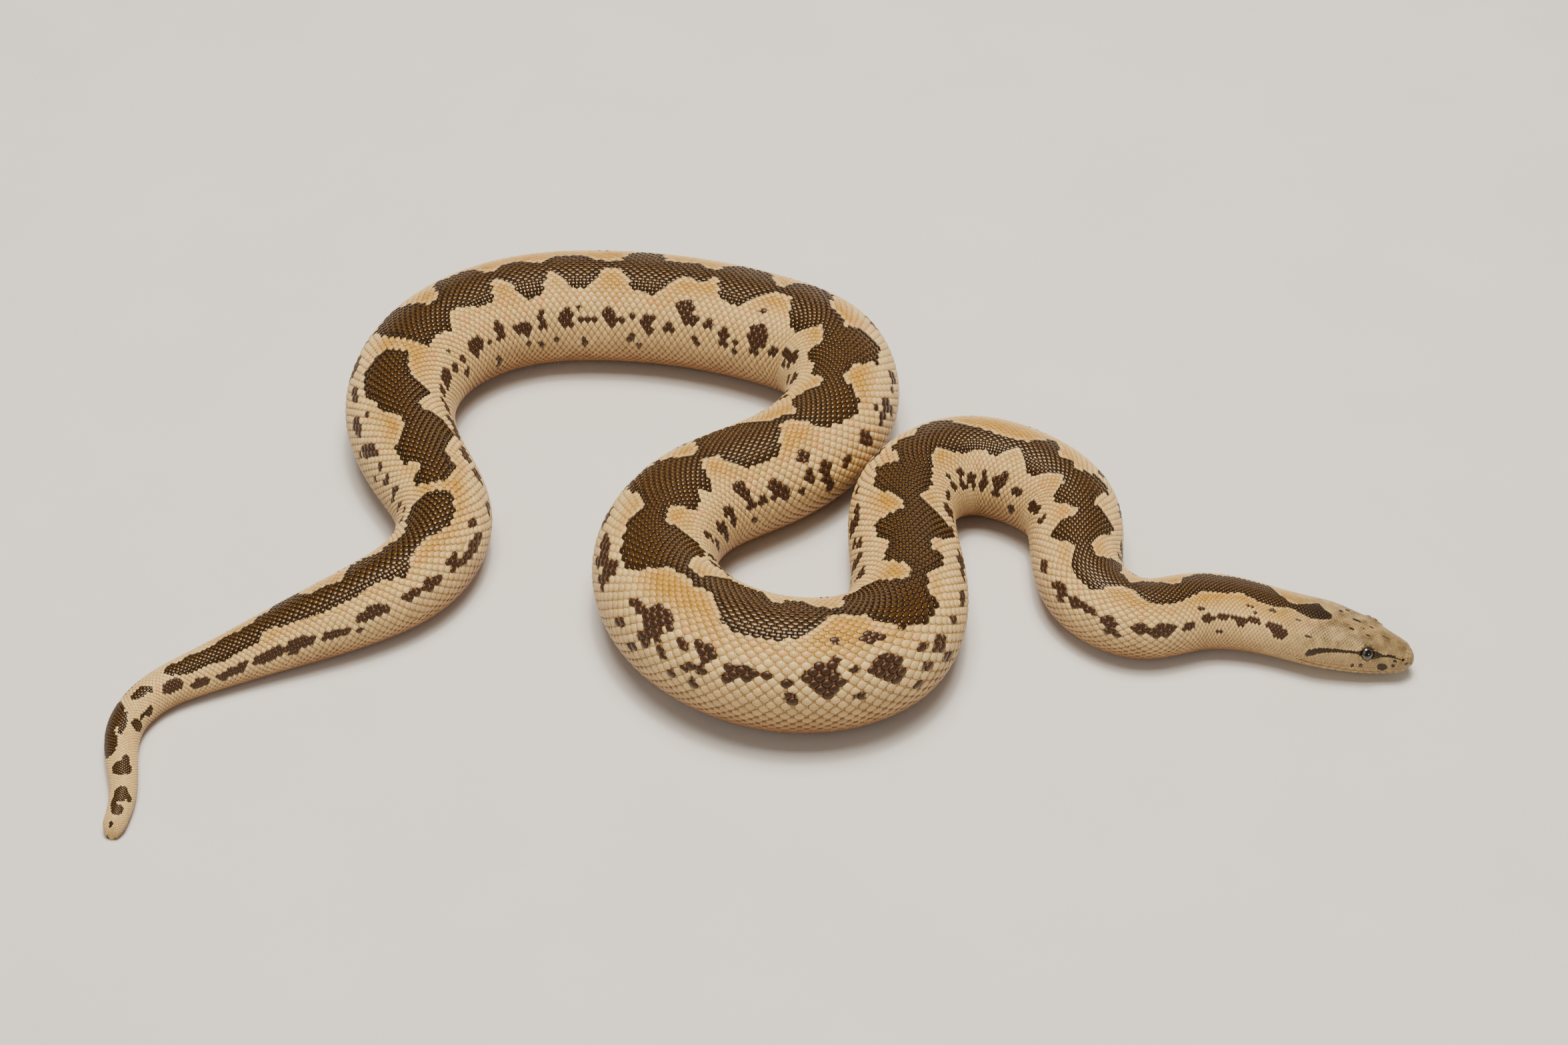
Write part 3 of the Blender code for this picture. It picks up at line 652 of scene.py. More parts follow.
def layScales(place, angle, long, wide, high, keel):
    along, around, outward, stretch = surfaceFrame(skinPoint, place, angle)
    keel = keel[:, None, None]
    shape = scalePoints[None] * (1 - keel) + scaleKeeled[None] * keel
    stretch = np.where(stretch > 1, stretch ** coat["stretch"], stretch)
    x = shape[:, :, 0] * (long * np.clip(stretch, *coat["stretchLimits"]))[:, None]
    y = shape[:, :, 1] * wide[:, None]
    z = shape[:, :, 2] * high[:, None] - shape[:, :, 0] * (coat["tilt"] * high)[:, None]
    points = skinPoint(place, angle)[:, None]
    for way, reach in ((along, x), (around, y), (outward, z)):
        points = points + way[:, None] * reach[..., None]
    points[..., 2] = np.maximum(points[..., 2], coat["low"])
    spread = np.degrees(y / np.maximum(outlineAt(place)[0], coat["leastHalf"])[:, None])
    return points, place[:, None] + shape[:, :, 0] * long[:, None], angle[:, None] + spread


def layPlates(place, angle, long, wide, high, turned):  # plates that follow the skin's own curve
    reach = 0.05
    ahead = skinPoint(place + reach, angle) - skinPoint(place - reach, angle)
    perPlace = np.linalg.norm(ahead, axis=1)[:, None] / (2 * reach)
    across = skinPoint(place, angle + 1) - skinPoint(place, angle - 1)
    perDegree = np.linalg.norm(across, axis=1)[:, None] / 2
    turned = np.radians(turned)[:, None]
    flat = scalePoints[:, :2]
    # Plates fill more of their corners than scales do.
    fuller = np.maximum(np.hypot(*flat.T), 0.01) / np.maximum(np.abs(flat).max(1), 0.01)
    flat = flat * fuller[:, None] ** face["squareness"]
    x, y = flat[None, :, 0] * long[:, None], flat[None, :, 1] * wide[:, None]
    placeAt = place[:, None] + (x * np.cos(turned) - y * np.sin(turned)) / perPlace
    angleAt = angle[:, None] + (x * np.sin(turned) + y * np.cos(turned)) / perDegree
    placeAt = np.minimum(placeAt, snoutAt - reach)
    points = skinPoint(placeAt.ravel(), angleAt.ravel()).reshape(*placeAt.shape, 3)
    outward = surfaceFrame(skinPoint, place, angle)[2]
    points += outward[:, None] * (scalePoints[None, :, 2] * high[:, None])[..., None]
    points[..., 2] = np.maximum(points[..., 2], coat["low"])
    return points, placeAt, angleAt


def shareAlong(place):  # from nought at a piece's tail end to one at its head end
    low, high = place.min() - 1, place.max() + 1
    return (place - low) / (high - low)


def coatMesh(name, place, angle, laid, headShare):
    points, placeAt, angleAt = laid
    count, each = points.shape[:2]
    mesh = newMesh(name, points.reshape(-1, 3), scaleFaces, count, scaleBottom)
    # A marking's edge crosses only the scales it nearly halves; on the head it crosses them all.
    head = place > snoutAt - marks["crossing"]
    share = np.where(head, 1.0, marks["partly"])[:, None]
    placeAt = (place[:, None] + (placeAt - place[:, None]) * share).ravel()
    angleAt = (angle[:, None] + (angleAt - angle[:, None]) * share).ravel()
    edge = np.repeat(markingsAt(place, angle, pitchAt(place) * marks["pace"])[1], each)
    head = np.repeat(head, each)
    pace = pitchAt(placeAt[head]) * marks["headPace"]
    edge[head] = markingsAt(placeAt[head], angleAt[head], pace)[1]
    chance = np.random.default_rng(len(name) * 7 + count)
    luck, side, headShare, band = (
        np.repeat(item, each) for item in
        (chance.uniform(0, 1, count), sideAt(place, angle), headShare, bandTone(place, angle))
    )
    setAttribute(mesh, "mark", isDark(placeAt, angleAt), edge, luck)
    setAttribute(mesh, "lie", np.tile(scaleRise, count), side, headShare, band)
    root = np.stack([shareAlong(place), 0.5 + coat["bakeGirth"] * angle / 360], -1)
    bakeMap(mesh, root[:, None] + scalePoints[None, :, :2] * coat["patch"])
    return mesh


def sideAt(place, angle):  # how far round the side, by which the colour runs from gold to tan
    return np.maximum(np.abs(angle) / 180, ruled(coat["tailSide"], place))


def headShareAt(place):
    share = (place - (snoutAt - coat["headFrom"])) / coat["headFade"]
    return smoothStep(np.clip(share, 0, 1))


def makeCoat(finish):
    place, angle, span = latticeRoots()
    keep = headFeatureClear(place, angle)
    order = np.argsort(place[keep], kind="stable")
    place, angle, span = (item[keep][order] for item in (place, angle, span))
    pitch, lean = pitchAt(place), np.abs(angle)
    wide = np.radians(span) * outlineAt(place)[0] * coat["wide"]
    long = pitch * coat["long"]
    high = np.minimum(pitch, coat["highForRow"] * np.radians(span) * halfWidth(place))
    high *= coat["high"] * (1 - coat["headHigh"] * headShareAt(place))
    high *= ruled(coat["crownHigh"], lean)
    keel = np.clip(1 - lean / coat["keelSpan"], 0, 1) * ruled(coat["keel"], place)
    pieces = len(coat["names"])
    cuts = np.linspace(0, len(place), pieces + 1).astype(int)
    for name, start, end in zip(coat["names"], cuts, cuts[1:]):
        own = [item[start:end] for item in (place, angle, long, wide, high, keel)]
        mesh = coatMesh(name, *own[:2], layScales(*own), headShareAt(own[0]))
        addPiece(name, mesh, finish)
    print("coat laid:", len(place), "scales in", pieces, "pieces")


skinMesh = {"sides": 128, "rings": 700, "headStep": 0.24, "bodyStep": 1.15, "tailStep": 0.7,
            "tailTo": 60, "bodyFrom": 90, "bodyTo": 45, "headFrom": 26, "fullStretch": 0.4}


def skinPlaces(share):  # the place of each ring, from its share of the way from pole to pole
    tail, body, head = (skinMesh[key] for key in ("tailStep", "bodyStep", "headStep"))
    steps = [
        (0, tail), (skinMesh["tailTo"], tail), (skinMesh["bodyFrom"], body),
        (snoutAt - skinMesh["bodyTo"], body), (snoutAt - skinMesh["headFrom"], head),
        (snoutAt, head),
    ]
    fine = np.linspace(0, snoutAt, 4000)
    count = ringsTo(fine, ruled(steps, fine))
    place = np.interp(share * count[-1], count, fine)
    near = 0.5 / skinMesh["rings"]
    place = np.where(share < near, 0.0, place)
    return np.where(share > 1 - near, snoutAt, place)


def makeSkin(finish):
    clearSelection()
    bpy.ops.mesh.primitive_uv_sphere_add(
        segments=skinMesh["sides"], ring_count=skinMesh["rings"], radius=1
    )
    made = bpy.context.object
    made.name = made.data.name = "snake_skin"
    mesh = made.data
    points = np.zeros(len(mesh.vertices) * 3)
    mesh.vertices.foreach_get("co", points)
    x, y, z = points.reshape(-1, 3).T
    place = skinPlaces(np.arccos(np.clip(-z, -1, 1)) / math.pi)
    angle = -np.degrees(np.arctan2(y, x))
    skin = skinPoint(place, angle) * 0.001
    mesh.vertices.foreach_set("co", skin.astype(np.float32).ravel())
    mesh.update()
    faceOutward()
    bpy.ops.object.shade_smooth()
    dark, edge = markingsAt(place, angle, pitchAt(place) * marks["pace"])
    stretch = surfaceFrame(barePoint, place, angle)[3]
    spread = np.clip((stretch - 1) / skinMesh["fullStretch"], 0, 1)
    setAttribute(mesh, "mark", dark, edge, 0.5, spread)
    side, head, band = sideAt(place, angle), headShareAt(place), bandTone(place, angle)
    setAttribute(mesh, "lie", 0, side, head, band)
    mesh.materials.append(finish)
    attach(made, "root")
    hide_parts(*[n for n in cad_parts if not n.startswith("eye")])
    print("skin made:", len(mesh.polygons), "faces")


bellyPlates = {
    "from": 4, "to": 555, "halfSpan": 30, "columns": 10, "high": 0.22, "lap": 1.25,
    "throat": 536, "throatSpan": 9, "thick": 0.25, "sunk": 0.03, "low": 0.01,
    # Along each plate: place, height, and how high it counts as standing, which sets the painted
    # shade at its foot.
    "profile": [(-0.5, 0.0, 0.1), (-0.3, 1.0, 0.8), (0.35, 0.6, 0.7), (0.5, 0.0, 0.0)],
    "seed": 3, "tone": 0.98, "patch": (0.0006, 0.0015),
}


def bellySpan(place):  # the plates narrow under the throat
    return np.interp(place, [bellyPlates["throat"], bellyPlates["to"]],
                     [bellyPlates["halfSpan"], bellyPlates["throatSpan"]])


def makeBellyPlates(finish):  # wide plates under the body, each over the next one back
    start, end = np.interp([bellyPlates["from"], bellyPlates["to"]], finePlaces, ringCount)
    place = np.interp(np.arange(math.ceil(start), int(end)), ringCount, finePlaces)
    count, columns = len(place), bellyPlates["columns"]
    pitch, span = pitchAt(place), bellySpan(place)
    steps, rises, counted = np.array(bellyPlates["profile"]).T
    layers = []
    for step, rise in zip(steps, rises):
        for j, share in enumerate(np.linspace(-1, 1, columns)):
            at = place + pitch * step * bellyPlates["lap"]
            lift = bellyPlates["high"] * (0 if j in (0, columns - 1) else rise)
            lift = np.full(count, lift - bellyPlates["sunk"])
            layers.append(skinPoint(at, 180 + share * span, lift))
    top = np.stack(layers, 1)
    points = np.concatenate([top, top + [0, 0, bellyPlates["thick"]]], 1)
    points[..., 2] = np.maximum(points[..., 2], bellyPlates["low"])
    faces = plateFaces(len(steps), columns)
    mesh = newMesh("belly_plates", points.reshape(-1, 3), faces, count)
    luck = np.random.default_rng(bellyPlates["seed"]).uniform(0, 1, count)
    setAttribute(mesh, "mark", 0, 0, np.repeat(luck, points.shape[1]))
    counted = np.tile(np.repeat(counted, columns), 2 * count)
    setAttribute(mesh, "lie", counted, bellyPlates["tone"], 0)
    root = np.stack([shareAlong(place), np.full(count, 0.5)], -1)
    grid = np.meshgrid(np.linspace(-1, 1, len(steps)), np.linspace(-1, 1, columns), indexing="ij")
    flat = np.tile(np.stack(grid, -1).reshape(-1, 2), (2, 1))
    bakeMap(mesh, root[:, None] + flat[None] * bellyPlates["patch"])
    addPiece("belly_plates", mesh, finish)
    print("belly plates laid:", count)


def plateFaces(rows, columns):  # the top, the underside and the rim of one plate
    faces = []
    size = rows * columns
    for i in range(rows - 1):
        for j in range(columns - 1):
            a, b = i * columns + j, i * columns + j + 1
            c, d = a + columns, b + columns
            faces.append([a, b, d, c])
            faces.append([size + a, size + c, size + d, size + b])
    rim = list(range(columns))
    rim += [i * columns + columns - 1 for i in range(1, rows)]
    rim += [(rows - 1) * columns + j for j in range(columns - 2, -1, -1)]
    rim += [i * columns for i in range(rows - 2, 0, -1)]
    for a, b in zip(rim, rim[1:] + rim[:1]):
        faces.append([b, a, size + a, size + b])
    return faces


face = {
    "seed": 9, "squareness": 0.75,
    # Rows of lip plates: how many, and how far above the line of the lips.
    "lips": [(13, 0.60), (14, -0.62)], "lipFrom": 1.2, "lipTo": 20.6, "lipGrowth": 1.12,
    "lipThick": 0.13, "lipTall": 0.58, "lipStray": (0.94, 1.04), "lipLap": 1.04,
    # Rings of plates: radius, how many, and half length, half width and height of each.
    "round": {"eye": (1.66, 13, (0.36, 0.42, 0.19)), "nostril": (0.60, 6, (0.25, 0.33, 0.12))},
    "perDegree": 0.115, "ringSearch": (0.2, 2.6, 50), "lipSearch": (62, 165, 80),
    # Scales under the chin, in rows that fill what the belly plates leave.
    "chin": {"from": 1.9, "to": 44.0, "rows": 4, "pitch": 0.98, "span": 30, "overlap": 2,
             "fullTo": 22, "long": 0.56, "wide": 0.53, "high": 0.11},
    # Rings of small plates round the tip: behind it, how many, half length, turned by.
    "rings": [(0.72, 12, 0.56, 0.0), (1.45, 16, 0.53, 0.5)], "ringWide": 0.57, "ringHigh": 0.13,
    # Where the rings leave off for the lips: from, out to which angle, below, above, the mouth.
    "ringClear": {"from": 1.2, "angle": 125, "below": -1.2, "above": 1.1, "mouth": 0.42},
    "rostral": {"sideReach": 0.60, "upReach": 0.34, "thick": 0.16, "turns": 36, "rings": 7,
                "sunk": 0.03, "crown": 1.5, "skirt": 0.25, "core": 1.0, "tone": 0.3,
                "patch": 0.0015},
}


def angleAtHeight(place, height):  # where on the side of the head the skin is this high
    turns = np.linspace(*face["lipSearch"])
    found = []
    for spot, level in zip(place, height):
        point = barePoint(np.full(len(turns), spot), turns)
        found.append(np.interp(-level, -point[:, 2], turns))
    return np.array(found)


def lipPlates(chance):
    rows = []
    for count, above in face["lips"]:
        edges = np.linspace(0, 1, count + 1) ** face["lipGrowth"]
        edges = face["lipFrom"] + (face["lipTo"] - face["lipFrom"]) * edges
        middle, half = (edges[1:] + edges[:-1]) / 2, np.diff(edges) / 2
        turns = angleAtHeight(snoutAt - middle, lipHeight(middle) + above)
        for where, turn, length in zip(middle, turns, half * face["lipLap"]):
            tall = face["lipTall"] * chance.uniform(*face["lipStray"])
            for side in (1, -1):
                rows.append((where, side * turn, length, tall, face["lipThick"], 0))
    return rows


def ringPlates(name):  # a ring of small plates round the eye or nostril
    ring, count, size = face["round"][name]
    behind, lean = headParts[name]
    middle = barePoint(np.array([snoutAt - behind]), np.array([lean]))
    rows = []
    reach = np.linspace(*face["ringSearch"])
    for i in range(count):
        turn = 2 * math.pi * (i + 0.5) / count
        where = behind - reach * math.cos(turn)
        angle = lean + reach * math.sin(turn) / face["perDegree"]
        away = np.linalg.norm(barePoint(snoutAt - where, angle) - middle, axis=1)
        where, angle = np.interp(ring, away, where), np.interp(ring, away, angle)
        for side in (1, -1):
            rolled = side * angle + headParts["roll"]
            rows.append((where, rolled, *size, side * math.degrees(turn)))
    return rows


def tipRings():  # evenly spaced by distance round the tip
    rows = []
    clear = face["ringClear"]
    fine = np.linspace(-180, 180, 361)
    for behind, count, length, start in face["rings"]:
        walked = walkAlong(barePoint(np.full(len(fine), snoutAt - behind), fine))
        across = walked[-1] / count
        angle = np.interp((np.arange(count) + start) * across, walked, fine)
        point = barePoint(np.full(count, snoutAt - behind), angle)
        gap = point[:, 2] - lipHeight(np.full(count, behind))
        for turn, rise in zip(angle, gap):
            lips = abs(turn) < clear["angle"] and clear["below"] < rise < clear["above"]
            if not (lips and behind > clear["from"]) and abs(rise) > clear["mouth"]:
                wide = across * face["ringWide"]
                rows.append((behind, turn, length, wide, face["ringHigh"], 0))
    return rows


def chinScales():
    chin = face["chin"]
    side = chin["rows"]
    rows = []
    for i, behind in enumerate(np.arange(chin["from"], chin["to"], chin["pitch"] / 2)):
        place = snoutAt - behind
        taken = bellySpan(place) - chin["overlap"]
        wide = outlineAt(np.array([place]))[0][0] * chin["wide"] / side
        for j in range(-side, side + 1):
            turn = j * chin["span"] / side
            if (i + j) % 2 == 0 and (abs(turn) > taken or behind < chin["fullTo"]):
                long = chin["pitch"] * chin["long"]
                rows.append((behind, turn % 360 - 180, long, wide, chin["high"], 0))
    return rows


def makeFacePlates(finish):
    chance = np.random.default_rng(face["seed"])
    rows = lipPlates(chance) + tipRings() + chinScales() + ringPlates("eye")
    behind, angle, long, wide, high, turned = np.array(rows + ringPlates("nostril"), float).T
    place = snoutAt - behind
    laid = layPlates(place, angle, long, wide, high, turned)
    mesh = coatMesh("face_plates", place, angle, laid, np.ones(len(place)))
    addPiece("face_plates", mesh, finish)
    print("face plates laid:", len(place))


def rostralFaces(rings, turns):
    faces = []
    centre, first = rings * turns, (rings - 1) * turns
    for j in range(turns):
        after = (j + 1) % turns
        for i in range(0, first, turns):
            faces.append([i + j, i + turns + j, i + turns + after, i + after])
        faces.append([first + j, centre, first + after])
        faces.append([j, after, centre + 1 + after, centre + 1 + j])
        faces.append([centre + 1 + j, centre + 1 + after, centre + 1 + turns])
    return faces


def makeRostral(finish):  # the wide plate over the tip of the snout
    shape = face["rostral"]
    turns, rings = shape["turns"], shape["rings"]
    angle = np.tile(np.linspace(0, 360, turns, endpoint=False) + 0.01, rings)
    out = np.repeat(np.linspace(1, 1 / rings, rings), turns)
    sideways = np.sin(np.radians(angle)) ** 2
    reach = shape["upReach"] + (shape["sideReach"] - shape["upReach"]) * sideways
    place = snoutAt - out**2 * reach
    lift = shape["thick"] * np.clip(np.sqrt(1 - out**2) * shape["crown"], 0, 1) - shape["sunk"]
    outward = surfaceFrame(barePoint, place, angle)[2]
    top = skinPoint(place, angle) + outward * lift[:, None]
    tip = np.array([snoutAt])
    forward = np.array([*spotOn(tip)[1][0], 0])
    tip = skinPoint(tip, np.array([0.0]))[0] + forward * (shape["thick"] - shape["sunk"])
    rim = skinPoint(place[:turns], angle[:turns]) - forward * shape["skirt"]
    points = np.concatenate([top, [tip], rim, [tip - forward * shape["core"]]])
    mesh = newMesh("rostral_plate", points, rostralFaces(rings, turns))
    made = addPiece("rostral_plate", mesh, finish)
    clearSelection()
    made.select_set(True)
    bpy.context.view_layer.objects.active = made
    faceOutward()
    setAttribute(mesh, "mark", 0, 0, 0.5)
    rise = np.concatenate([1 - out, [1], np.zeros(turns + 1)])
    setAttribute(mesh, "lie", rise, shape["tone"], 1, 0)
    turn = np.radians(np.concatenate([angle, [0], angle[:turns], [0]]))
    far = np.concatenate([out, [0], np.ones(turns), [0]])[:, None]
    bakeMap(mesh, 0.5 + shape["patch"] * np.stack([np.cos(turn), np.sin(turn)], -1) * far)
    print("rostral plate laid")


eyes = {"radius": 1.3, "bulge": 0.9, "sunk": 0.5, "segments": 64, "rings": 40}


def makeEye(side, name, finish):
    behind, lean = headParts["eye"]
    place, angle = np.array([snoutAt - behind]), np.array([side * lean + headParts["roll"]])
    outward = surfaceFrame(barePoint, place, angle)[2][0]
    centre = barePoint(place, angle)[0] - outward * eyes["sunk"]
    clearSelection()
    bpy.ops.mesh.primitive_uv_sphere_add(
        segments=eyes["segments"], ring_count=eyes["rings"], radius=1
    )
    made = bpy.context.object
    made.name = made.data.name = name
    radius = eyes["radius"]
    editAll()
    bpy.ops.transform.resize(value=(radius, radius, eyes["bulge"]))
    bpy.ops.object.mode_set(mode="OBJECT")
    bpy.ops.object.shade_smooth()
    layer = made.data.uv_layers.active
    layer.name = "EyeFace"
    for loop in made.data.loops:
        x, y, _ = made.data.vertices[loop.vertex_index].co
        layer.data[loop.index].uv = (x / (2 * radius) + 0.5, y / (2 * radius) + 0.5)
    look, ahead = Vector(outward), Vector((*spotOn(place)[1][0], 0))
    ahead = (ahead - look * ahead.dot(look)).normalized()
    turn = Matrix((ahead, look.cross(ahead), look)).transposed()
    made.data.transform(Matrix.Translation(Vector(centre) * 0.001) @ turn.to_4x4()
                        @ Matrix.Scale(0.001, 4))
    made.data.materials.append(finish)
    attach(made, "root")
    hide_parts(name.replace("_ball", ""))


def linear(*shade):  # a screen colour as light
    return [((c / 255 + 0.055) / 1.055) ** 2.4 if c > 10 else c / 3295 for c in shade] + [1]


def newFinish(name):
    finish = bpy.data.materials.new(name)
    finish.use_nodes = True
    return finish, finish.node_tree, finish.node_tree.nodes["Principled BSDF"].inputs


def feed(tree, socket, value):  # a number, a colour, or what another node gives
    if isinstance(value, (int, float, list)):
        socket.default_value = value
    else:
        tree.links.new(value, socket)


def ramp(tree, source, stops):
    made = tree.nodes.new("ShaderNodeValToRGB")
    band = made.color_ramp
    while len(band.elements) < len(stops):
        band.elements.new(0.5)
    for element, (at, shade) in zip(band.elements, stops):
        element.position = at
        element.color = shade if isinstance(shade, list) else [shade, shade, shade, 1]
    tree.links.new(source, made.inputs["Fac"])
    return made.outputs["Color"]


def blend(tree, share, first, second, how="MIX"):
    made = tree.nodes.new("ShaderNodeMix")
    made.data_type = "RGBA"
    made.blend_type = how
    for i, value in ((0, share), (6, first), (7, second)):
        feed(tree, made.inputs[i], value)
    return made.outputs[2]


def tint(tree, first, second):
    return blend(tree, 1.0, first, second, "MULTIPLY")


def sums(tree, how, first, second):
    made = tree.nodes.new("ShaderNodeMath")
    made.operation = how
    for socket, value in zip(made.inputs, (first, second)):
        feed(tree, socket, value)
    return made.outputs[0]


def times(tree, first, second):
    return sums(tree, "MULTIPLY", first, second)


def noise(tree, size, detail):
    where, made = tree.nodes.new("ShaderNodeTexCoord"), tree.nodes.new("ShaderNodeTexNoise")
    for key, value in (("Scale", size), ("Detail", detail), ("Roughness", 0.55)):
        made.inputs[key].default_value = value
    tree.links.new(where.outputs["Object"], made.inputs["Vector"])
    return made.outputs["Fac"]


def vectorStep(tree, how, source, value=(0, 0, 0)):
    made = tree.nodes.new("ShaderNodeVectorMath")
    made.operation = how
    made.inputs[1].default_value = value
    tree.links.new(source, made.inputs[0])
    return made.outputs


def readParts(tree, name):  # the four numbers that each point of a piece carries
    read, parts = (tree.nodes.new("ShaderNode" + kind) for kind in ("Attribute", "SeparateColor"))
    read.attribute_name = name
    tree.links.new(read.outputs["Color"], parts.inputs[0])
    return [*parts.outputs, read.outputs["Alpha"]]


colours = {
    "cream": (236, 199, 130), "gold": (196, 144, 52), "light": (244, 214, 150),
    # The flank and belly tones are partly the snake's own and partly painted shade under the body;
    # the belly's warm tan adds a painted warm reflected light.
    "flank": (211, 176, 121), "belly": (147, 103, 65), "orange": (212, 144, 86),
    "bandRim": (28, 14, 2), "bandHeart": (90, 56, 8), "spotRim": (82, 52, 33),
    "spotHeart": (54, 30, 17), "headTan": (192, 160, 108), "headGrey": (122, 100, 68),
    "cheek": (190, 158, 110), "between": (136, 100, 70), "headDark": (44, 30, 19),
}
paint = {key: linear(*value) for key, value in colours.items()}


def paleGround(tree, side, head, edge, luck):  # golden on the back, grey under the flanks
    cloud = times(tree, sums(tree, "SUBTRACT", noise(tree, 70, 4), 0.5), 0.22)
    level = sums(tree, "ADD", side, cloud)
    # Down the side the colour darkens toward the belly: partly the snake's own tones, partly
    # painted shade and painted warm reflected light.
    ground = ramp(tree, level, [
        (0.0, paint["gold"]), (0.10, paint["gold"]), (0.23, paint["cream"]),
        (0.45, paint["flank"]), (0.66, paint["belly"]), (1.0, paint["belly"]),
    ])
    warmth = ramp(tree, luck, [(0.0, 0.0), (0.72, 0.0), (1.0, 0.75)])
    zone = ramp(tree, level, [(0.0, 0.5), (0.2, 1.0), (0.32, 0.35), (0.45, 0.0)])
    ground = blend(tree, tint(tree, warmth, zone), ground, paint["orange"])
    patches = ramp(tree, noise(tree, 420, 3), [(0.35, 0.0), (0.65, 1.0)])
    tanned = blend(tree, patches, paint["headTan"], paint["headGrey"])
    cheek = ramp(tree, level, [(0.0, 0.0), (0.28, 0.0), (0.46, 0.8), (1.0, 1.0)])
    ground = blend(tree, head, ground, blend(tree, cheek, tanned, paint["cheek"]))
    border = ramp(tree, edge, [(0.0, 0.0), (0.2, 0.0), (0.42, 0.40), (1.0, 0.5)])
    border = times(tree, border, ramp(tree, head, [(0.0, 1.0), (1.0, 0.6)]))
    return blend(tree, border, ground, paint["light"])


def darkMarks(tree, rise, head, banded, edge, spread):
    # The band has near-black rims and browner hearts away from the edges. Each scale's near-black
    # foot is partly the band's own colour and partly painted shade in the grooves between scales.
    heart = times(tree, ramp(tree, rise, [(0.0, 0.0), (0.45, 0.25), (1.0, 1.0)]),
                  ramp(tree, edge, [(0.0, 1.0), (0.35, 0.45), (0.8, 0.2)]))
    band = blend(tree, heart, paint["bandRim"], paint["bandHeart"])
    spot = blend(tree, rise, paint["spotRim"], paint["spotHeart"])
    if spread:  # the skin shows paler between dark scales where a bend draws them apart
        spread = ramp(tree, spread, [(0.0, 0.05), (0.4, 0.2), (1.0, 0.9)])
        band = blend(tree, spread, band, paint["between"])
        spot = blend(tree, 0.8, spot, paint["between"])
    band = blend(tree, banded, spot, band)
    return blend(tree, ramp(tree, head, [(0.3, 0.0), (0.8, 0.85)]), band, paint["headDark"])


def snakeFinish(name, bare):
    finish, tree, surface = newFinish(name)
    dark, edge, luck, spread = readParts(tree, "mark")
    rise, side, head, banded = readParts(tree, "lie")
    ground = paleGround(tree, side, head, edge, luck)
    marked = darkMarks(tree, rise, head, banded, edge, spread if bare else None)
    base = blend(tree, dark, ground, marked)
    base = tint(tree, base, ramp(tree, luck, [(0.0, 0.86), (1.0, 1.06)]))
    # The bare skin between the scales is darkened, partly its own duller tone and partly painted
    # shade in the gaps.
    if bare:
        base = tint(tree, base, [0.74, 0.66, 0.56, 1])
    else:
        # Painted shade: each scale and plate is darker toward its foot, in the creases between
        # them.
        base = tint(tree, base, ramp(tree, rise, [(0.0, 0.78), (0.5, 0.97), (0.75, 1.0)]))
    where = tree.nodes.new("ShaderNodeTexCoord").outputs["Object"]
    tip = [*spotOn(np.array([snoutAt]))[0][0] * 0.001, 0.005]
    away = times(tree, vectorStep(tree, "DISTANCE", where, tip)["Value"], 50)
    base = tint(tree, base, ramp(tree, away, [(0.0, 0.78), (0.3, 0.82), (0.7, 1.0)]))
    grain = noise(tree, 2600, 2)
    base = tint(tree, base, ramp(tree, grain, [(0.3, 0.9), (0.7, 1.04)]))
    tree.links.new(base, surface["Base Color"])
    rough = ramp(tree, times(tree, dark, banded), [(0.0, 0.38), (1.0, 0.22)])
    tree.links.new(rough, surface["Roughness"])
    surface["Specular Tint"].default_value = (1.0, 0.86, 0.68, 1)
    relief = tree.nodes.new("ShaderNodeBump")
    relief.inputs["Strength"].default_value = 0.25
    relief.inputs["Distance"].default_value = 0.00006
    tree.links.new(grain, relief.inputs["Height"])
    tree.links.new(relief.outputs["Normal"], surface["Normal"])
    return finish


def eyeFinish():
    finish, tree, surface = newFinish("eye_gloss")
    facing = tree.nodes.new("ShaderNodeUVMap")
    facing.uv_map = "EyeFace"
    centred = vectorStep(tree, "SUBTRACT", facing.outputs["UV"], (0.5, 0.5, 0))[0]
    slim = vectorStep(tree, "MULTIPLY", centred, (1.45, 1.0, 1.0))[0]
    slit, reach = (vectorStep(tree, "LENGTH", item)["Value"] for item in (slim, centred))
    streaks = tree.nodes.new("ShaderNodeTexNoise")
    streaks.inputs["Scale"].default_value = 14
    streaks.inputs["Detail"].default_value = 4
    tree.links.new(facing.outputs["UV"], streaks.inputs["Vector"])
    iris = ramp(tree, streaks.outputs["Fac"], [
        (0.3, linear(34, 26, 20)), (0.5, linear(62, 50, 38)), (0.72, linear(96, 82, 64))])
    iris = tint(tree, iris, ramp(tree, reach, [(0.0, 1.0), (0.36, 1.0), (0.44, 0.25)]))
    pupil = ramp(tree, slit, [(0.0, 1.0), (0.33, 1.0), (0.37, 0.0)])
    tree.links.new(blend(tree, pupil, iris, linear(4, 3, 3)), surface["Base Color"])
    for key, value in (("Roughness", 0.12), ("Coat Weight", 1.0), ("Coat Roughness", 0.02)):
        surface[key].default_value = value
    return finish


def makeStage():
    clearSelection()
    bpy.ops.mesh.primitive_plane_add(size=12, location=(0, 0, 0))
    floor = bpy.context.object
    floor.name = "floor"
    finish, tree, surface = newFinish("pale_floor")
    tone = ramp(tree, noise(tree, 30, 4), [
        (0.3, linear(232, 227, 218)), (0.7, linear(238, 233, 225))])
    tree.links.new(tone, surface["Base Color"])
    surface["Roughness"].default_value = 0.75
    floor.data.materials.append(finish)


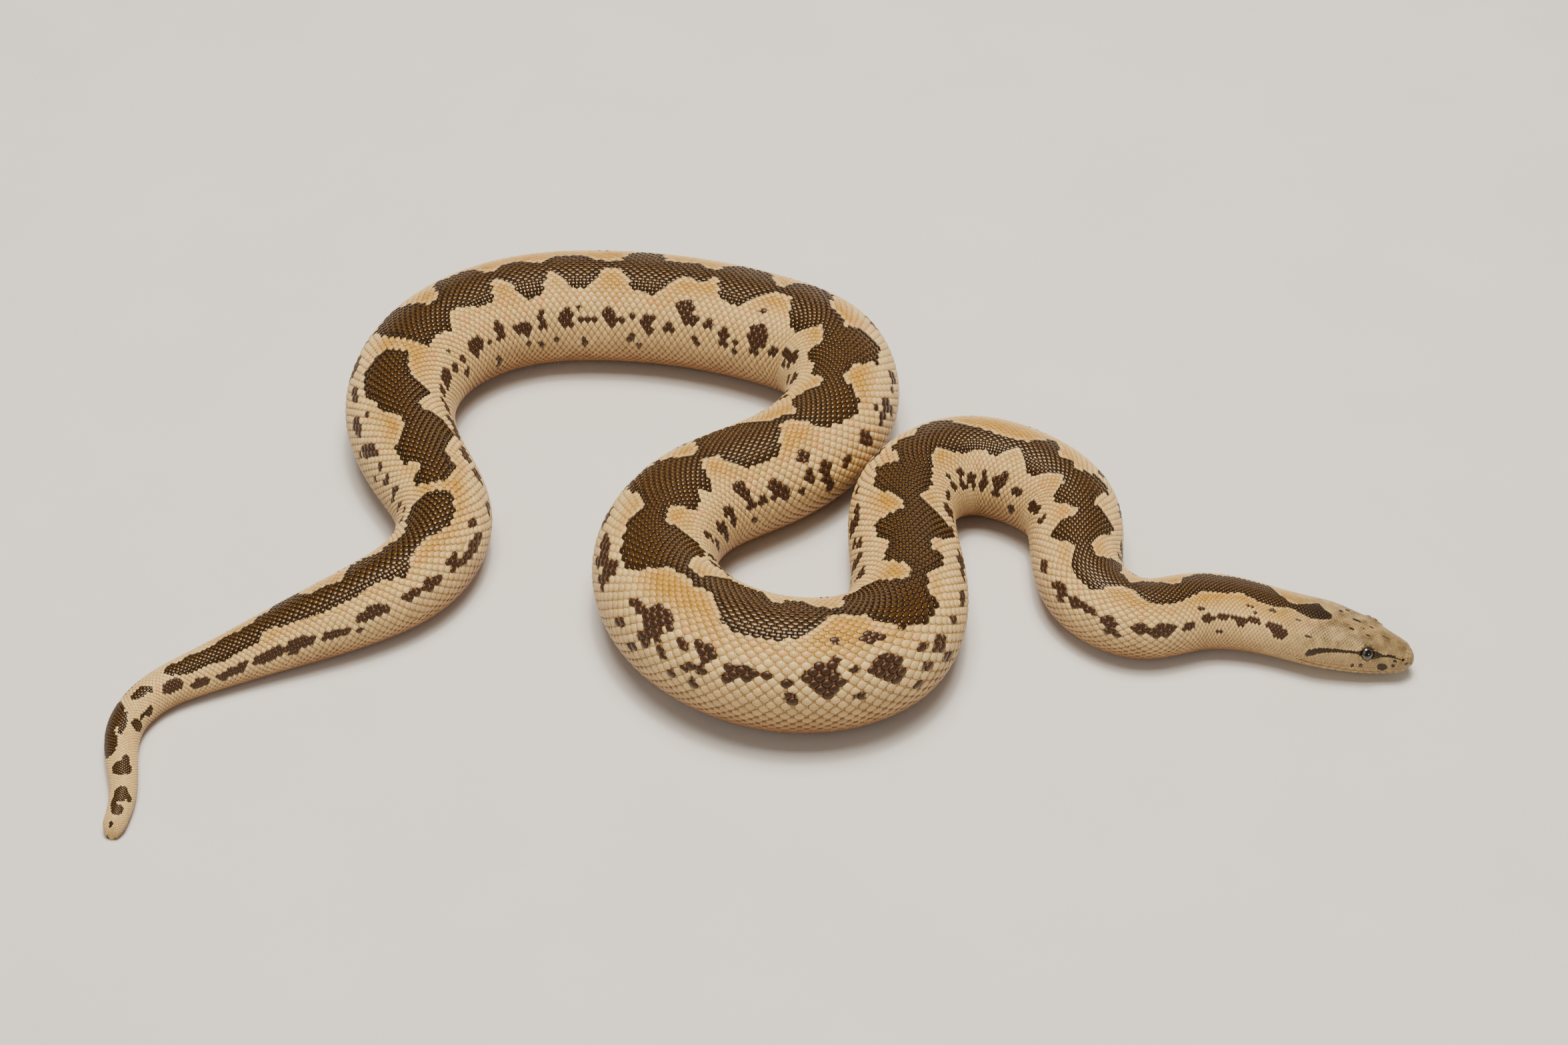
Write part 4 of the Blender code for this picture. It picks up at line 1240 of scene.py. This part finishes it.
lamps = {  # place, aim, size, strength, colour
    "overhead": ((0.0, 0.08, 0.92), (0, 0, 0), (0.5, 0.5), 11.5, (1.0, 0.95, 0.86)),
    "sparkle": ((0.03, 0.10, 0.90), (0, 0, 0), (0.09, 0.09), 2.6, (1.0, 0.96, 0.88)),
    "front": ((-0.55, -0.75, 0.85), (0, 0, 0), (0.7, 0.6), 1.2, (1.0, 0.96, 0.9)),
    "catch": ((0.62, -0.85, 0.42), (0.1, -0.03, 0), (0.10, 0.10), 0.8, (1.0, 0.97, 0.92)),
    "window": ((0.3, 1.3, 0.35), (0, 0, 0.02), (1.0, 0.4), 1.6, (1.0, 0.97, 0.92)),
}


def makeLights():
    for name, (place, aim, size, strength, shade) in lamps.items():
        data = bpy.data.lights.new(name, "AREA")
        data.shape = "RECTANGLE"
        data.size, data.size_y = size
        data.energy = strength
        data.color = shade
        lamp = bpy.data.objects.new(name, data)
        bpy.context.scene.collection.objects.link(lamp)
        lamp.location = place
        lamp.rotation_euler = (Vector(aim) - Vector(place)).to_track_quat("-Z", "Y").to_euler()
    world = bpy.data.worlds.new("soft_sky")
    bpy.context.scene.world = world
    world.use_nodes = True
    world.node_tree.nodes["Background"].inputs["Color"].default_value = (1.0, 0.97, 0.92, 1)
    world.node_tree.nodes["Background"].inputs["Strength"].default_value = 0.22


view = {"lens": 65, "lift": 45, "away": 0.59453, "aim": (0.0033, 0.00744, 0.0)}


def makeCamera():
    data = bpy.data.cameras.new("camera")
    data.lens, data.sensor_width = view["lens"], 36
    camera = bpy.data.objects.new("camera", data)
    bpy.context.scene.collection.objects.link(camera)
    lift = math.radians(view["lift"])
    x, y, z = view["aim"]
    camera.location = (x, y - view["away"] * math.cos(lift), z + view["away"] * math.sin(lift))
    camera.rotation_euler = (math.pi / 2 - lift, 0, 0)
    data.clip_start, data.clip_end = 0.01, 20
    bpy.context.scene.camera = camera


makeCamera()
makeStage()
makeLights()
skinFinish = snakeFinish("snake_skin", True)
scaleFinish = snakeFinish("snake_scales", False)
makeSkin(skinFinish)
makeCoat(scaleFinish)
makeBellyPlates(scaleFinish)
makeFacePlates(scaleFinish)
makeRostral(scaleFinish)
eyeGloss = eyeFinish()
makeEye(1, "eye_left_ball", eyeGloss)
makeEye(-1, "eye_right_ball", eyeGloss)
print("eyes set")
